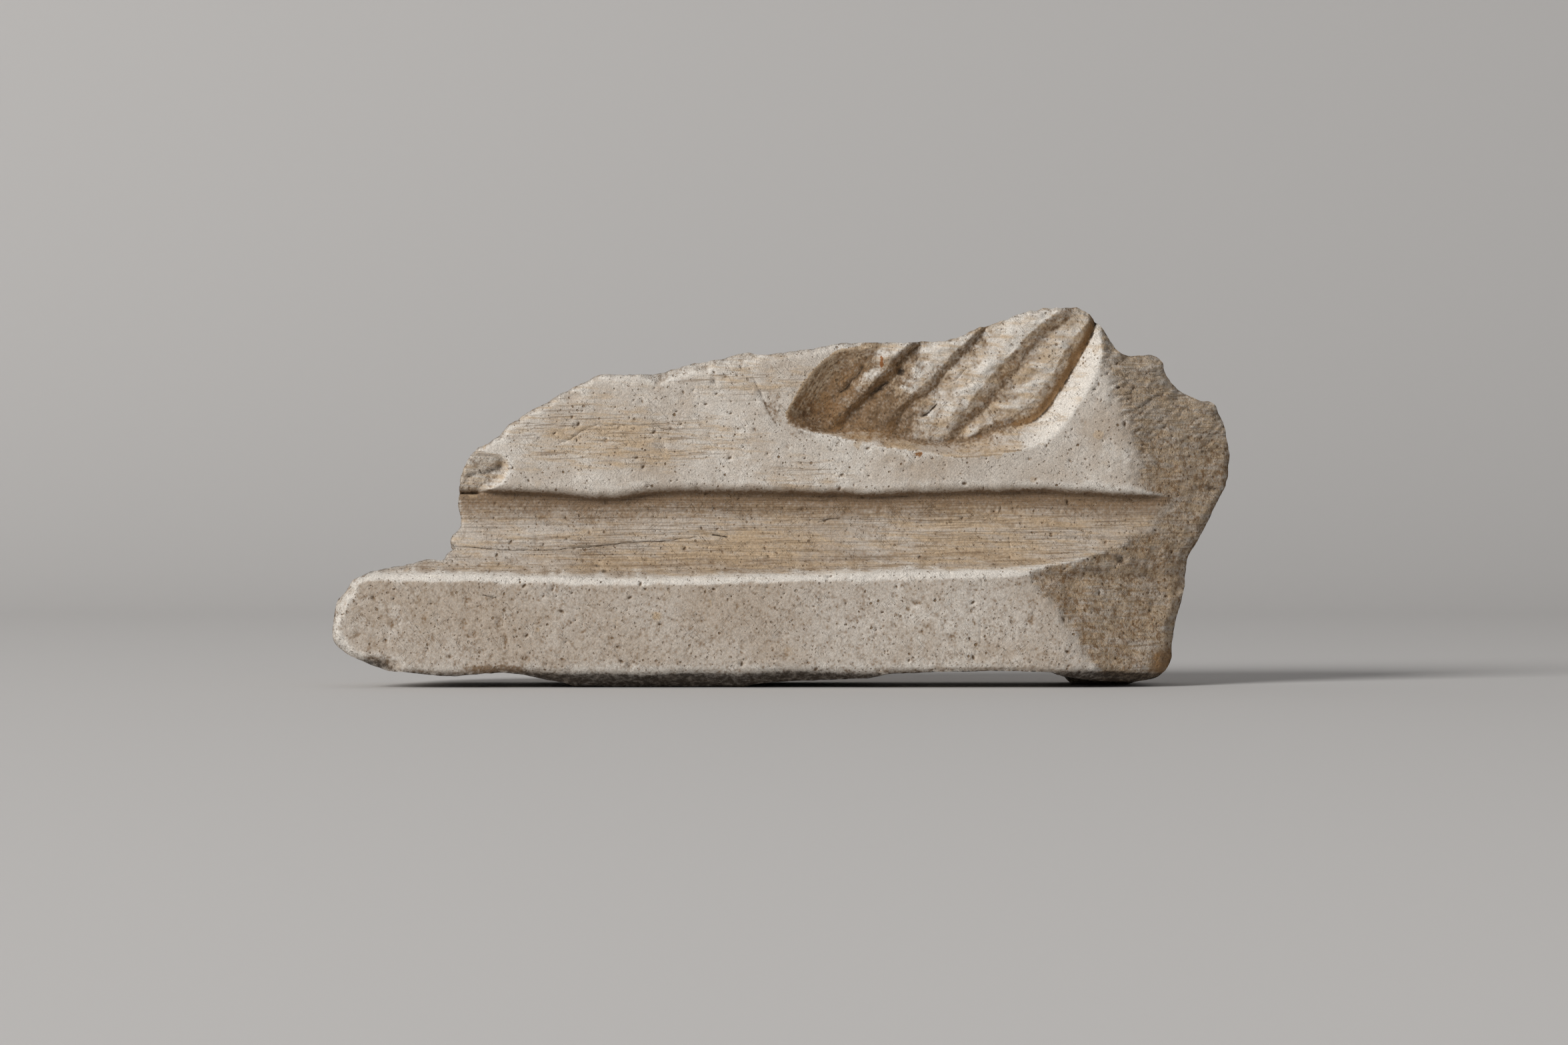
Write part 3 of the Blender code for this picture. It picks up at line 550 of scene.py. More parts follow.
def add_recess(x, z, masks):
    """How far the recess is sunk below the field, with its patina, ochre, wear and the painted shade of
    its grooves put in the masks.
    """
    sunk = np.zeros(x.shape)
    rim = recess_rim()
    spots = near(x, z, rim, 0)
    spots = spots[inside(x[spots], z[spots], rim)]
    px, pz = x[spots], z[spots]
    at = flat(px, pz)
    foot = eased(places(WALL_FOOT))
    foot_gap, along = distance(px, pz, foot)
    foot_depth = RECESS_DEPTH * np.interp(along, *np.array(FOOT_DEPTHS).T)
    low_rim = np.vstack((eased(places(BOTTOM_RIM)), eased(places(RIGHT_RIM))[1:]))
    low_gap = distance(px, pz, low_rim)[0]
    on_wall = inside(px, pz, np.vstack((foot, low_rim[::-1])))
    climb = low_gap / (low_gap + foot_gap + NEAR_ZERO)
    wall = foot_depth * (np.sqrt(climb**2 + WALL_ROUNDING**2) - WALL_ROUNDING) * (1 + WALL_ROUNDING)
    wall += np.clip(wall, 0, 1) * blend(at, (0.16, 6.0, 43), (0.08, 2.0, 44))

    bent_x = px + blend(at, (0.8, 7.0, 67), (0.4, 2.8, 68))
    bent_z = pz + blend(at, (0.8, 7.0, 69), (0.4, 2.8, 70))
    floor, falling, rising, paleness = fold_form(bent_x, bent_z)
    cap, swell = cap_form(px, pz, at)
    floor += (foot_depth - floor) * fade(foot_gap, 2.6, 0)
    uneven = blend(at, (0.55, 6.5, 38), (0.34, 2.8, 39), (0.15, 1.3, 40))
    uneven += 0.5 * paleness * lumps(at, (6.5, 4.0, 2.6), 76)
    floor += uneven * fade(foot_gap, 0, 1.2) - swell * fade(foot_gap, 0.3, 2.0)
    left_gap = distance(px, pz, eased(places(LEFT_RIM)))[0]
    left = LEFT_WALL_SLOPE * (np.sqrt(left_gap**2 + RIM_ROUNDING**2) - RIM_ROUNDING)
    on_left = fade(left - floor, 0.7, -0.5)
    rasp = left_gap + 0.5 * lumps(at, 12.0, 45)
    rasped = np.cos(2 * np.pi * rasp / RASP_PERIOD) * np.clip(0.6 + lumps(at, 5.0, 77), 0, 1)
    left += on_left * np.clip(left, 0, 1) * (0.15 * rasped + 0.20 * lumps(at, 4.0, 58))
    floor = soft_min(left, floor, FOOT_ROUNDING)
    sunk[spots] = np.maximum(np.where(on_wall, wall, floor), 0)

    on_wall = on_wall.astype(float)
    on_left *= 1 - on_wall
    right_share = fade(px - 0.35 * pz, LENGTH * 0.64, LENGTH * 0.70)
    on_right = on_wall * right_share
    on_bottom = on_wall * (1 - right_share)
    west = fade(px + 0.25 * pz, LENGTH * 0.755, LENGTH * 0.66)
    east = fade(px - 0.55 * pz, LENGTH * 0.53, LENGTH * 0.57)
    band = fade(falling + 0.16 * lumps(at, 3.0, 85) * np.sign(falling), 0.02, 0.46)
    band *= 1 - 0.5 * fade(lumps(at, (9.0, 5.0, 4.0), 86), -0.1, 0.6)
    on_line = fade(px, LENGTH * 0.735, LENGTH * 0.79)
    cream = paleness * (0.62 + 0.38 * fade(rising, 0.9, 0.2)) * (1 - 0.45 * west)
    cream += blend(at, (0.42, (6.0, 4.0, 2.8), 53), (0.24, 2.4, 59))
    cream = np.clip(np.maximum(cream, 0.95 * cap), 0, 1) * (1 - band)
    top_gap = np.interp(px, *places(TOP_BREAK).T) - pz
    open_top = fade(top_gap, 4.0, 0.5)
    soil_and_shade = 0.48 + 0.45 * west - 0.10 * east * on_line - 0.46 * cream + 0.14 * lumps(at, 9.0, 78)
    # Browner towards the grooves' bottoms: patina there, and painted shade
    soil_and_shade += 0.14 * fade(rising, 0.66, 0.98) + 0.20 * fade(falling, 0.60, 0.98) * (1 - on_line)
    soil_and_shade *= 1 - 0.5 * open_top * (1 - band)
    soil_and_shade += (0.46 + 0.26 * rasped + 0.14 * lumps(at, 5.0, 79) - soil_and_shade) * on_left
    streaks = 0.18 * lumps(at, (14.0, 5.0, 1.6), 60)
    soil_and_shade += (0.26 + streaks + 0.20 * fade(climb, 0.6, 1.0) * (1 - on_line) - soil_and_shade) * on_wall
    soil_and_shade += (0.05 + 0.10 * fade(climb, 0.5, 1.0) - soil_and_shade) * on_right
    soil_and_shade += (0.24 - 0.36 * on_line) * fade(foot_gap, 2.6, 0.2) * (1 - on_wall)
    soil_and_shade *= fade(distance(px, pz, rim)[0], 0.1, 1.5)
    masks["soil_and_shade"][spots] = np.clip(soil_and_shade, 0, 1)
    ochre = 0.62 + 0.6 * fade(foot_gap, 4.4, 0.4) * on_line * (1 - 0.75 * on_wall)
    ochre += 0.35 * on_left - 0.04 * on_bottom - 0.42 * on_right - 0.22 * cream
    masks["ochre"][spots] = ochre + 0.3 * lumps(at, 5.0, 80)
    amber = (0.95 * fade(foot_gap, 4.0, 0.5) * on_line + 0.36 * band) * (1 - on_wall)
    amber += (0.30 - 0.16 * rasped) * on_left + 0.30 * on_wall * fade(climb, 0.75, 1.0)
    amber += 0.46 * west * (1 - cream) * (1 - on_left)
    masks["amber"][spots] = amber + 0.12 * lumps(at, 4.0, 84)
    # Darker along the right walls' foot and at the grooves' bottoms: grime, and painted shade
    dark = 0.62 * fade(foot_gap, 0.8, 0.1) * on_line
    dark += 0.26 * fade(falling, 0.78, 0.98) + 0.26 * fade(rising, 0.88, 1.0)
    dark *= 1 - 0.6 * fade(px + 0.25 * pz, LENGTH * 0.66, LENGTH * 0.76) * (1 - on_line)
    masks["dark"][spots] = dark
    wear_and_highlight = np.maximum(cream * 1.1 - 0.10, 0.6 * open_top * (1 - band)) * (1 - on_left) * (1 - on_bottom)
    masks["wear_and_highlight"][spots] = np.maximum(np.clip(wear_and_highlight, 0, 1), on_right)
    return sunk


def add_chip(x, z, masks):
    """The rough hollow knocked out of the field's left end, behind a clean curved rim."""
    hollow = np.zeros(x.shape)
    rim = eased(places(CHIP_RIM))
    loop = np.vstack((rim, places(CHIP_CLOSING)))
    spots = near(x, z, loop, 0)
    spots = spots[inside(x[spots], z[spots], loop)]
    px, pz = x[spots], z[spots]
    gap, share = distance(px, pz, rim)
    at = flat(px, pz)
    steep = 0.35 + 1.15 * fade(share, 0.35, 0.6)
    floor = CHIP_DEPTH + 0.8 * crumble(at, 3.4, 3, 46)
    hollow[spots] = np.maximum(soft_min(steep * gap, floor, 0.7), 0)
    masks["soil_and_shade"][spots] = 0.12 * fade(pz, height(2.12), height(2.0))
    masks["wear_and_highlight"][spots] = np.maximum(fade(gap, 2.4, 1.0) * fade(share, 0.4, 0.6), 0.50)
    masks["ochre"][spots] = 0.42
    masks["rough"][spots] = fade(gap, 0.5, 2.0)
    return hollow


def outline_of_front():
    """The broken outline: its corners eased, then roughened in lumps of a few millimetres."""
    line = eased(resampled(places(OUTLINE), 4.0, closed=True), closed=True)
    line = resampled(line, OUTLINE_STEP, closed=True)
    out = square_to(np.roll(line, -1, axis=0) - np.roll(line, 1, axis=0))
    at = flat(*line.T)
    push = blend(at, (0.45, 7.0, 11), (0.40, 3.0, 12), (0.20, 1.5, 13))
    push *= 0.4 + 0.6 * fade(line[:, 1], 0.1 * PLINTH_HEIGHT, 0.8 * PLINTH_HEIGHT)
    line += out * push[:, None]
    line[:, 1] = np.maximum(line[:, 1], 0)
    return line


def tree_of(points):
    tree = kdtree.KDTree(len(points))
    for number, (x, z) in enumerate(points):
        tree.insert((x, z, 0), number)
    tree.balance()
    return tree


def crack_lines():
    """Each crack's line, wandering a little, with its half width, depth and darkness."""
    cracks = []
    for number, (points, half_width, deep, dark, wander) in enumerate(CRACKS):
        line = resampled(eased(places(points)), CRACK_STEP)
        at = flat(*line.T)
        line[:, 1] += wander * (lumps(at, 3.2, 91 + number) + 0.5 * lumps(at, 1.3, 121 + number))
        cracks.append((line, half_width, deep, dark))
    return cracks


def scattered_pits(outline_tree, outline):
    """Small slanting pits: place, radius, depth and turn, apart from each other and the outline."""
    draw = np.random.default_rng(PIT_SEED)
    tries = draw.random((PIT_TRIES, 4))
    spots = np.column_stack((tries[:, 0] * LENGTH, tries[:, 1] * TOTAL_HEIGHT))
    crowded = np.clip(0.5 + 0.6 * lumps(flat(*spots.T), 26.0, 151), 0.15, 1)
    kept = inside(*spots.T, outline) & (tries[:, 3] < crowded) & ~inside(*spots.T, recess_rim())
    pits = []
    for (x, z), share in zip(spots[kept], tries[kept, 2]):
        radius = PIT_RADII[0] + (PIT_RADII[1] - PIT_RADII[0]) * share**4
        turn = np.pi * (share * 13 % 1)
        if outline_tree.find((x, z, 0))[2] < radius + PIT_MARGIN:
            continue
        if all(np.hypot(x - px, z - pz) > radius + reach + PIT_SPACING for px, pz, reach, *_ in pits):
            pits.append((x, z, radius, radius * (0.45 + 0.5 * (share * 7 % 1)), turn))
    return pits


def hex_grid(low, high, step):
    """Places on rows between two corners, each row half a step aside of the one before."""
    grid = []
    for number, z in enumerate(np.arange(low[1], high[1], step * ROW_SPACING)):
        x = np.arange(low[0] + number % 2 * step / 2, high[0], step)
        grid.append(np.column_stack((x, np.full(len(x), z))))
    return np.vstack(grid)


def front_places(outline, cracks, pits):
    """All the places of the front's mesh: its outline first, then grids, rows, cracks and pits."""
    rim = recess_rim()
    middle = rim.mean(axis=0)
    chip = np.vstack((eased(places(CHIP_RIM)), places(CHIP_CLOSING)))
    zones = (
        (middle + (rim - middle) * 1.03, CARVED_STEP),
        (chip, CARVED_STEP),
        (places(FACET_ZONE), FACET_STEP),
    )
    lip = np.arange(*LIP_ROWS) + CHANNEL_TOP
    arris = np.arange(*ARRIS_ROWS) + PLINTH_HEIGHT
    columns = np.arange(0, LENGTH, PLAIN_STEP * 0.85)
    points = hex_grid((0, 0), (LENGTH, TOTAL_HEIGHT + 2), PLAIN_STEP)
    for band in (lip, arris):
        level_z = points[:, 1] - band_run(points[:, 0], np.full(len(points), band[0]))
        points = points[(level_z < band[0] - 0.5) | (level_z > band[-1] + 0.5)]
        runs = band_run(columns, np.full(len(columns), band[0]))
        points = np.vstack([points] + [np.column_stack((columns, z + runs)) for z in band])
    for loop, step in zones:
        fine = hex_grid(loop.min(axis=0), loop.max(axis=0), step)
        points = np.vstack((points[~inside(*points.T, loop)], fine[inside(*fine.T, loop)]))
    points = points[inside(*points.T, outline)]

    extra = []
    for line, half_width, _, _ in cracks:
        aside = square_to(np.gradient(line, axis=0))
        for shift in (-1, 0, 1):
            extra.append(line + aside * half_width * shift)
        spots = near(*points.T, line, 1)
        gap = distance(*points[spots].T, line)[0]
        points = np.delete(points, spots[gap < half_width + 0.25], axis=0)
    taken = tree_of(np.vstack(extra))
    free = np.ones(len(points), bool)
    grid_tree = tree_of(points)
    for x, z, radius, _, turn in pits:
        if taken.find((x, z, 0))[2] < radius + 0.3:
            continue
        for _, number, _ in grid_tree.find_range((x, z, 0), radius + 0.25):
            free[number] = False
        rings = ((radius, 9), (radius * 0.5, 5), (0.0, 1))
        for reach, count in rings:
            angle = 2 * np.pi * np.arange(count) / count
            aside, up = turned(reach * np.cos(angle), reach * PIT_WIDTH * np.sin(angle), -turn)
            extra.append(np.column_stack((x + aside, z + up)))
    extra = np.vstack(extra)
    extra = extra[inside(*extra.T, outline)]
    points = np.vstack((points[free], extra))
    tree = tree_of(outline)
    clear = [tree.find((x, z, 0))[2] > 0.4 for x, z in points]
    return np.vstack((outline, points[clear]))


def band_run(x, z):
    """How far the bands run above or below their levels beside each place."""
    shifted = [x / LENGTH * 100 + shift for shift in (-1.2, -0.4, 0.4, 1.2)]
    arris, lip = (
        np.mean([np.interp(percent, *np.array(line).T) for percent in shifted], axis=0)
        for line in (ARRIS_RUN, LIP_RUN)
    )
    at = flat(x, np.zeros(len(x)))
    uneven = blend(at, (0.26, 12.0, 22), (0.12, 4.0, 62))
    run = arris + (lip - arris) * fade(z, PLINTH_HEIGHT, CHANNEL_TOP)
    return run / 100 * PLINTH_HEIGHT + uneven


def furrows(x, z, at):
    """The claw chisel's broken, wandering furrows on the upper part of the facet."""
    along, across = turned(x, z, np.radians(FURROW_SLANT))
    across += blend(at, (1.8, 9.0, 51), (0.9, 4.0, 66))
    strokes = flat(along, across)
    broken = np.clip(0.50 + 1.5 * lumps(strokes, (5.5, 5.0, 2.4), 52), 0, 1)
    strength = fade(z, height(2.14), height(2.38)) * broken
    return FURROW_DEPTH * strength * np.cos(2 * np.pi * across / FURROW_PERIOD)


def add_marks(x, z, depth, masks, cracks, pits):
    """Sinks dents, cracks and pits into the front, and darkens them."""
    for place, reaches, deep, dark in DENTS:
        share = oval(x, z, place, reaches)
        depth += deep * share
        masks["dark"] = np.maximum(masks["dark"], dark * share)
    for line, half_width, deep, dark in cracks:
        spots = near(x, z, line, 1)
        gap, along = distance(x[spots], z[spots], line)
        taper = np.sqrt(np.sin(np.pi * np.clip(along, 0.03, 0.97)))
        share = np.clip(1 - gap / (half_width * taper), 0, 1)
        depth[spots] += deep * share
        masks["dark"][spots] = np.maximum(masks["dark"][spots], dark * np.sqrt(share))
    tree = tree_of(np.column_stack((x, z)))
    for px, pz, radius, deep, turn in pits:
        for place, number, _ in tree.find_range((px, pz, 0), radius):
            long, short = turned(place[0] - px, place[1] - pz, turn)
            share = max(1 - (long**2 + (short / PIT_WIDTH) ** 2) / radius**2, 0)
            depth[number] += deep * share
            masks["pit"][number] = max(masks["pit"][number], share)
    for name, place, reaches, strength in STAINS:
        masks[name] = masks[name] + strength * oval(x, z, place, reaches)


MASKS = (
    "soil_and_shade", "ochre", "amber", "wear_and_highlight", "dark", "rust", "facet", "channel", "rough", "pit", "recess",
)


def front_form(x, z, edge_gap, cracks, pits):
    """The depth of the front at each place, with its wear, and the masks that colour it."""
    at = flat(x, z)
    level_z = z - band_run(x, z)
    masks = {name: np.zeros(len(x)) for name in MASKS}
    sunk = add_recess(x, z, masks) + add_chip(x, z, masks)
    in_recess = fade(sunk, 0.2, 1.6)
    profile = profile_depth(level_z, LIP_ROUNDING * (1.0 + 0.7 * lumps(at, 40.0, 23)))
    arris_gap = np.abs(level_z - PLINTH_HEIGHT)
    arris_round = 1.1 + blend(at, (0.5, 17.0, 24), (0.35, 6.0, 25))
    profile += np.clip(arris_round, 0.3, None) * np.clip(1 - arris_gap / ARRIS_ROUNDING, 0, 1) ** 2
    facet = facet_depth(x, z) + blend(at, (0.6, 9.0, 27), (0.3, 3.5, 63))
    facet_share = fade(facet - profile - sunk, -0.8, 1.6)
    tinted = fade(facet - profile - sunk + 0.9 * lumps(at, 3.4, 83), -0.4, 3.0)
    depth = soft_max(profile + sunk, facet, 1.8)
    bevel_top = UNDER_BEVEL_HEIGHT * (1 + 0.22 * lumps(at, 26.0, 26))
    under = soft_max(bevel_top - z, 0, 1.2) - 0.1
    depth += np.maximum(under, 0) * UNDER_BEVEL_REACH / UNDER_BEVEL_HEIGHT

    in_channel = fade(level_z, PLINTH_HEIGHT - 1, PLINTH_HEIGHT + 3)
    in_channel *= fade(level_z, CHANNEL_TOP + 0.8, CHANNEL_TOP) * (1 - facet_share)
    plain = (1 - facet_share) * (1 - in_recess)
    depth += plain * blend(at, (0.32, 34.0, 31), (0.16, 11.0, 32), (0.08, 4.0, 33))
    dents = np.clip(lumps(at, (4.4, 4.0, 3.0), 28) - 0.46, 0, 1)
    dents += np.clip(lumps(at, (2.4, 4.0, 4.6), 29) - 0.48, 0, 1)
    depth += (1 - in_recess) * 1.1 * dents
    depth += in_channel * blend(at, (0.12, (70.0, 9.0, 4.2), 34), (0.06, (50.0, 9.0, 2.3), 30))
    chipped = blend(at, (0.45, 15.0, 35), (0.30, 5.0, 36), (0.30, 2.1, 37))
    depth += facet_share * chipped
    furrow = facet_share * furrows(x, z, at)
    depth += furrow
    add_marks(x, z, depth, masks, cracks, pits)

    ragged = np.interp(x / LENGTH * 100, *np.array(EDGE_WEAR).T)
    ragged *= np.clip(1 + blend(at, (0.5, 9.0, 41), (0.4, 4.0, 42)), 0.3, None)
    ragged = np.maximum(ragged * fade(z, 0, PLINTH_HEIGHT * 0.3), 0.3)
    away = np.clip(1 - edge_gap / ragged, 0, 1)
    depth += ragged * (0.45 * away + 0.45 * (1 - np.sqrt(1 - away**2)))
    depth += fade(away, 0, 0.4) * 0.35 * crumble(at, 2.6, 2, 47)

    # Painted shade below the lip: browner over the channel's top 14 millimetres, over some real patina
    shade = fade(level_z, CHANNEL_TOP - 14, CHANNEL_TOP + 1) * in_channel
    masks["soil_and_shade"] += 0.60 * shade + 0.01 * in_channel
    masks["soil_and_shade"] += 0.10 * in_channel * lumps(at, (40.0, 9.0, 3.0), 64)
    # Painted shade in a dark line just under the lip, and a lighter painted shade from the lip's rounded
    # underside down, both over some patina
    under_lip = fade(np.abs(level_z - CHANNEL_TOP + 0.6), 2.2 + 0.8 * lumps(at, 16.0, 65), 0.3)
    on_lip = fade(level_z, CHANNEL_TOP + 3.4, CHANNEL_TOP + 0.8)
    masks["soil_and_shade"] += 0.7 * under_lip * plain + 0.26 * plain * on_lip
    masks["soil_and_shade"] += 0.22 * np.clip(dents * 3, 0, 1) * plain * (1 - in_channel)
    facet_soil = 0.17 + 1.1 * furrow + blend(at, (0.18, 18.0, 48), (0.18, 5.0, 82))
    facet_soil -= 0.48 * fade(z, height(2.2), height(2.5))
    masks["soil_and_shade"] = masks["soil_and_shade"] * (1 - tinted) + tinted * facet_soil
    masks["ochre"] += in_channel * (0.42 + 0.25 * lumps(at, (60.0, 20.0, 6.0), 49)) + 0.66 * tinted
    edge = fade(away, 0, 0.5)
    masks["wear_and_highlight"] *= 1 - facet_share
    # Painted highlight along the plinth's rounded arris, over some real wear, with the soil cleared from
    # it
    on_arris = plain * fade(np.abs(level_z - PLINTH_HEIGHT + 0.4 + 0.7 * lumps(at, 11.0, 87)), 2.8, 0.6)
    masks["wear_and_highlight"] += (0.85 + 0.5 * lumps(at, 13.0, 55)) * on_arris
    masks["soil_and_shade"] *= 1 - 0.8 * on_arris
    above_lip = plain * fade(level_z, CHANNEL_TOP + 1.2, CHANNEL_TOP + 4)
    masks["wear_and_highlight"] += above_lip * (0.45 + 0.35 * lumps(at, 30.0, 50))
    masks["wear_and_highlight"] = np.maximum(masks["wear_and_highlight"], 0.55 * edge)
    masks["soil_and_shade"] *= 1 - 0.6 * edge * (1 - facet_share)
    # Painted shade on the underside's bevel, over a little dirt
    masks["dark"] = np.maximum(masks["dark"], 0.8 * fade(under, 0.3, 1.6))
    masks["recess"] = in_recess
    masks["facet"] = tinted
    amber = 0.32 + 0.2 * lumps(at, 14.0, 88)
    masks["amber"] += tinted * amber * fade(z, height(2.6), height(2.1))
    masks["channel"] = in_channel
    masks["rough"] = np.maximum(masks["rough"], np.maximum(edge, fade(under, 0.2, 1.5)))
    return depth, {name: np.clip(values, 0, 1) for name, values in masks.items()}


def hollows(depth, faces, rounds=14):
    """How far each place lies behind the middle of the places around it, in millimetres."""
    faces = np.asarray(faces)
    pairs = np.vstack((faces[:, [0, 1]], faces[:, [1, 2]], faces[:, [2, 0]]))
    pairs = np.unique(np.sort(pairs, axis=1), axis=0)
    start, end = np.concatenate((pairs, pairs[:, ::-1])).T
    count = np.maximum(np.bincount(start, minlength=len(depth)), 1)
    smooth = depth
    for _ in range(rounds):
        smooth = (smooth + np.bincount(start, weights=smooth[end], minlength=len(depth)) / count) / 2
    return depth - smooth


def roughness(x, y, z, seed):
    """Broken stone's uneven surface, in the same two sizes of lumps as the solid's."""
    place = Vector((x, y, z)) / MM
    large, small = (lump / MM for lump in BREAK_LUMPS)
    offset = Vector((seed, -seed, 2 * seed))
    return noise(place / large + offset) + small / large * noise(place / small + offset)


def side_ring(x, z, front, share):
    """The places of the front's outline once they are a share of the way to the back."""
    y = front + (THICKNESS - front) * share
    rough = BREAK_ROUGHNESS * fade(share, 0.01, 0.20)
    above = fade(z, ROUGH_LEVELS[0] * PLINTH_HEIGHT, ROUGH_LEVELS[1] * PLINTH_HEIGHT)
    taper = LEFT_TAPER * fade(x, LEFT_TAPER_SHARE * LENGTH, 0)
    taper -= RIGHT_TAPER * fade(x, (1 - RIGHT_TAPER_SHARE) * LENGTH, LENGTH)
    lump_x = np.array([roughness(*place, X_SEED) for place in zip(x, y, z)])
    lump_z = np.array([roughness(*place, Z_SEED) for place in zip(x, y, z)])
    at = np.column_stack((x, y, z))
    fine = fade(share, 0.01, 0.14) * (1 - 0.7 * fade(share, 0.9, 1))
    crumbs_x = 0.9 * crumble(at, 8.0, 4, 61)
    crumbs_z = 0.9 * crumble(at, 8.0, 4, 71)
    new_x = x + taper * share + rough * lump_x + fine * crumbs_x
    new_z = z - TOP_TAPER * z / TOTAL_HEIGHT * share * above + above * (rough * lump_z + fine * crumbs_z)
    new_z += (1 - above) * fine * 0.30 * crumble(at, 5.0, 3, 81) - 1.0 * above * fade(share, 0, 0.05)
    catch = PAD_CATCH_LEVEL * PLINTH_HEIGHT
    percent = x / LENGTH * 100
    for first, last, fading, begins, ends in REST_PADS:
        across = fade(percent, first, first + fading) * fade(percent, last, last - fading)
        pressed = across * fade(z, 2 * catch, catch) * fade(share, begins, ends)
        new_z *= 1 - pressed
    return np.column_stack((new_x, y, np.maximum(new_z, 0)))


def triangulated(points, loop_length):
    """Triangles inside the loop that the first points make, as corner numbers."""
    vectors = [Vector(point) for point in points]
    loop = [list(range(loop_length))]
    found, _, triangles, *_ = delaunay_2d_cdt(vectors, [], loop, 0, 1e-4, False)
    found = np.array([(place.x, place.y) for place in found])
    triangles = np.array(triangles)
    middles = found[triangles].mean(axis=1)
    return found, triangles[inside(middles[:, 0], middles[:, 1], found[:loop_length])]


def carve_stone():
    """The whole stone as one closed mesh: front, broken sides and sawn back."""
    outline = outline_of_front()
    count = len(outline)
    tree = tree_of(outline)
    cracks = crack_lines()
    pits = scattered_pits(tree, outline)
    points, front_faces = triangulated(front_places(outline, cracks, pits), count)
    x, z = points.T
    edge_gap = np.array([tree.find((px, pz, 0))[2] for px, pz in points])
    edge_gap[:count] = 0
    depth, masks = front_form(x, z, edge_gap, cracks, pits)
    hollow = hollows(depth, front_faces)
    # Browner in the hollows and paler on the ridges, by how far each place lies behind or before its
    # surroundings
    masks["soil_and_shade"] = np.clip(masks["soil_and_shade"] + 0.9 * np.clip(hollow, 0, 0.5) * (0.3 + masks["soil_and_shade"]), 0, 1)
    ridges = 1.2 * np.clip(-hollow - 0.05, 0, 0.5) * (1 - 0.85 * masks["recess"])
    masks["wear_and_highlight"] = np.clip(masks["wear_and_highlight"] + ridges, 0, 1)
    vertices = [np.column_stack((x, depth, z))]
    faces = [tuple(reversed(triangle)) for triangle in front_faces]
    rim_x, rim_z, rim_y = x[:count], z[:count], depth[:count]
    before = np.arange(count)
    total = len(points)
    for number in range(1, SIDE_RINGS + 1):
        share = (number / SIDE_RINGS) ** RING_CROWDING
        vertices.append(side_ring(rim_x, rim_z, rim_y, share))
        ring = np.arange(total, total + count)
        total += count
        for i in range(count):
            faces.append((before[i - 1], before[i], ring[i], ring[i - 1]))
        before = ring
    last = vertices[-1][:, [0, 2]]
    grid = hex_grid(last.min(axis=0), last.max(axis=0), BACK_STEP)
    grid = grid[inside(*grid.T, last)]
    back, back_faces = triangulated(np.vstack((last, grid)), count)
    extra = back[count:]
    vertices.append(np.column_stack((extra[:, 0], np.full(len(extra), THICKNESS), extra[:, 1])))
    numbers = np.concatenate((before, np.arange(total, total + len(extra))))
    faces += [tuple(numbers[list(triangle)]) for triangle in back_faces]
    vertices = np.vstack(vertices)
    behind = len(vertices) - len(points)
    for name in masks:
        masks[name] = np.concatenate((masks[name], np.zeros(behind)))
    broken = np.arange(len(vertices)) >= len(points)
    sawn = broken & (vertices[:, 1] > THICKNESS - 0.01)
    masks["sawn"] = sawn.astype(float)
    masks["rough"][broken & ~sawn] = 1
    masks["soil_and_shade"][broken] = SIDE_SOIL
    masks["ochre"][broken] = SIDE_OCHRE
    masks["soil_and_shade"][sawn] = BACK_SOIL
    masks["ochre"][sawn] = BACK_OCHRE
    # Painted shade, with a little dirt, on the broken sides next to the ground
    low = broken & (vertices[:, 2] < PLINTH_HEIGHT * 0.12)
    masks["dark"][low] = GROUND_DARK
    return vertices, faces, masks


def add_object(name, data):
    """A new object, linked to the scene."""
    thing = bpy.data.objects.new(name, data)
    bpy.context.scene.collection.objects.link(thing)
    return thing


def make_stone():
    vertices, faces, masks = carve_stone()
    vertices = (vertices + [box_low[0], box_low[1], 0]) / MM
    mesh = bpy.data.meshes.new("carved_stone")
    mesh.from_pydata(vertices.tolist(), [], [tuple(int(corner) for corner in face) for face in faces])
    mesh.validate()
    for name, values in masks.items():
        attribute = mesh.attributes.new(name, "FLOAT", "POINT")
        attribute.data.foreach_set("value", values.astype(np.float32))
    mesh.shade_smooth()
    return add_object("carved_stone", mesh)


# Colours of the stone, of what stains it and of its painted light and shade, as linear red, green and
# blue
BLEACHED_AND_LIT = (0.71, 0.665, 0.602, 1)
PALE = (0.545, 0.488, 0.425, 1)
TAN = (0.465, 0.390, 0.315, 1)
OCHRE = (0.500, 0.368, 0.232, 1)
BROWN = (0.205, 0.132, 0.074, 1)
UMBER = (0.045, 0.032, 0.022, 1)
AMBER = (0.255, 0.138, 0.052, 1)
RUST = (0.28, 0.115, 0.04, 1)


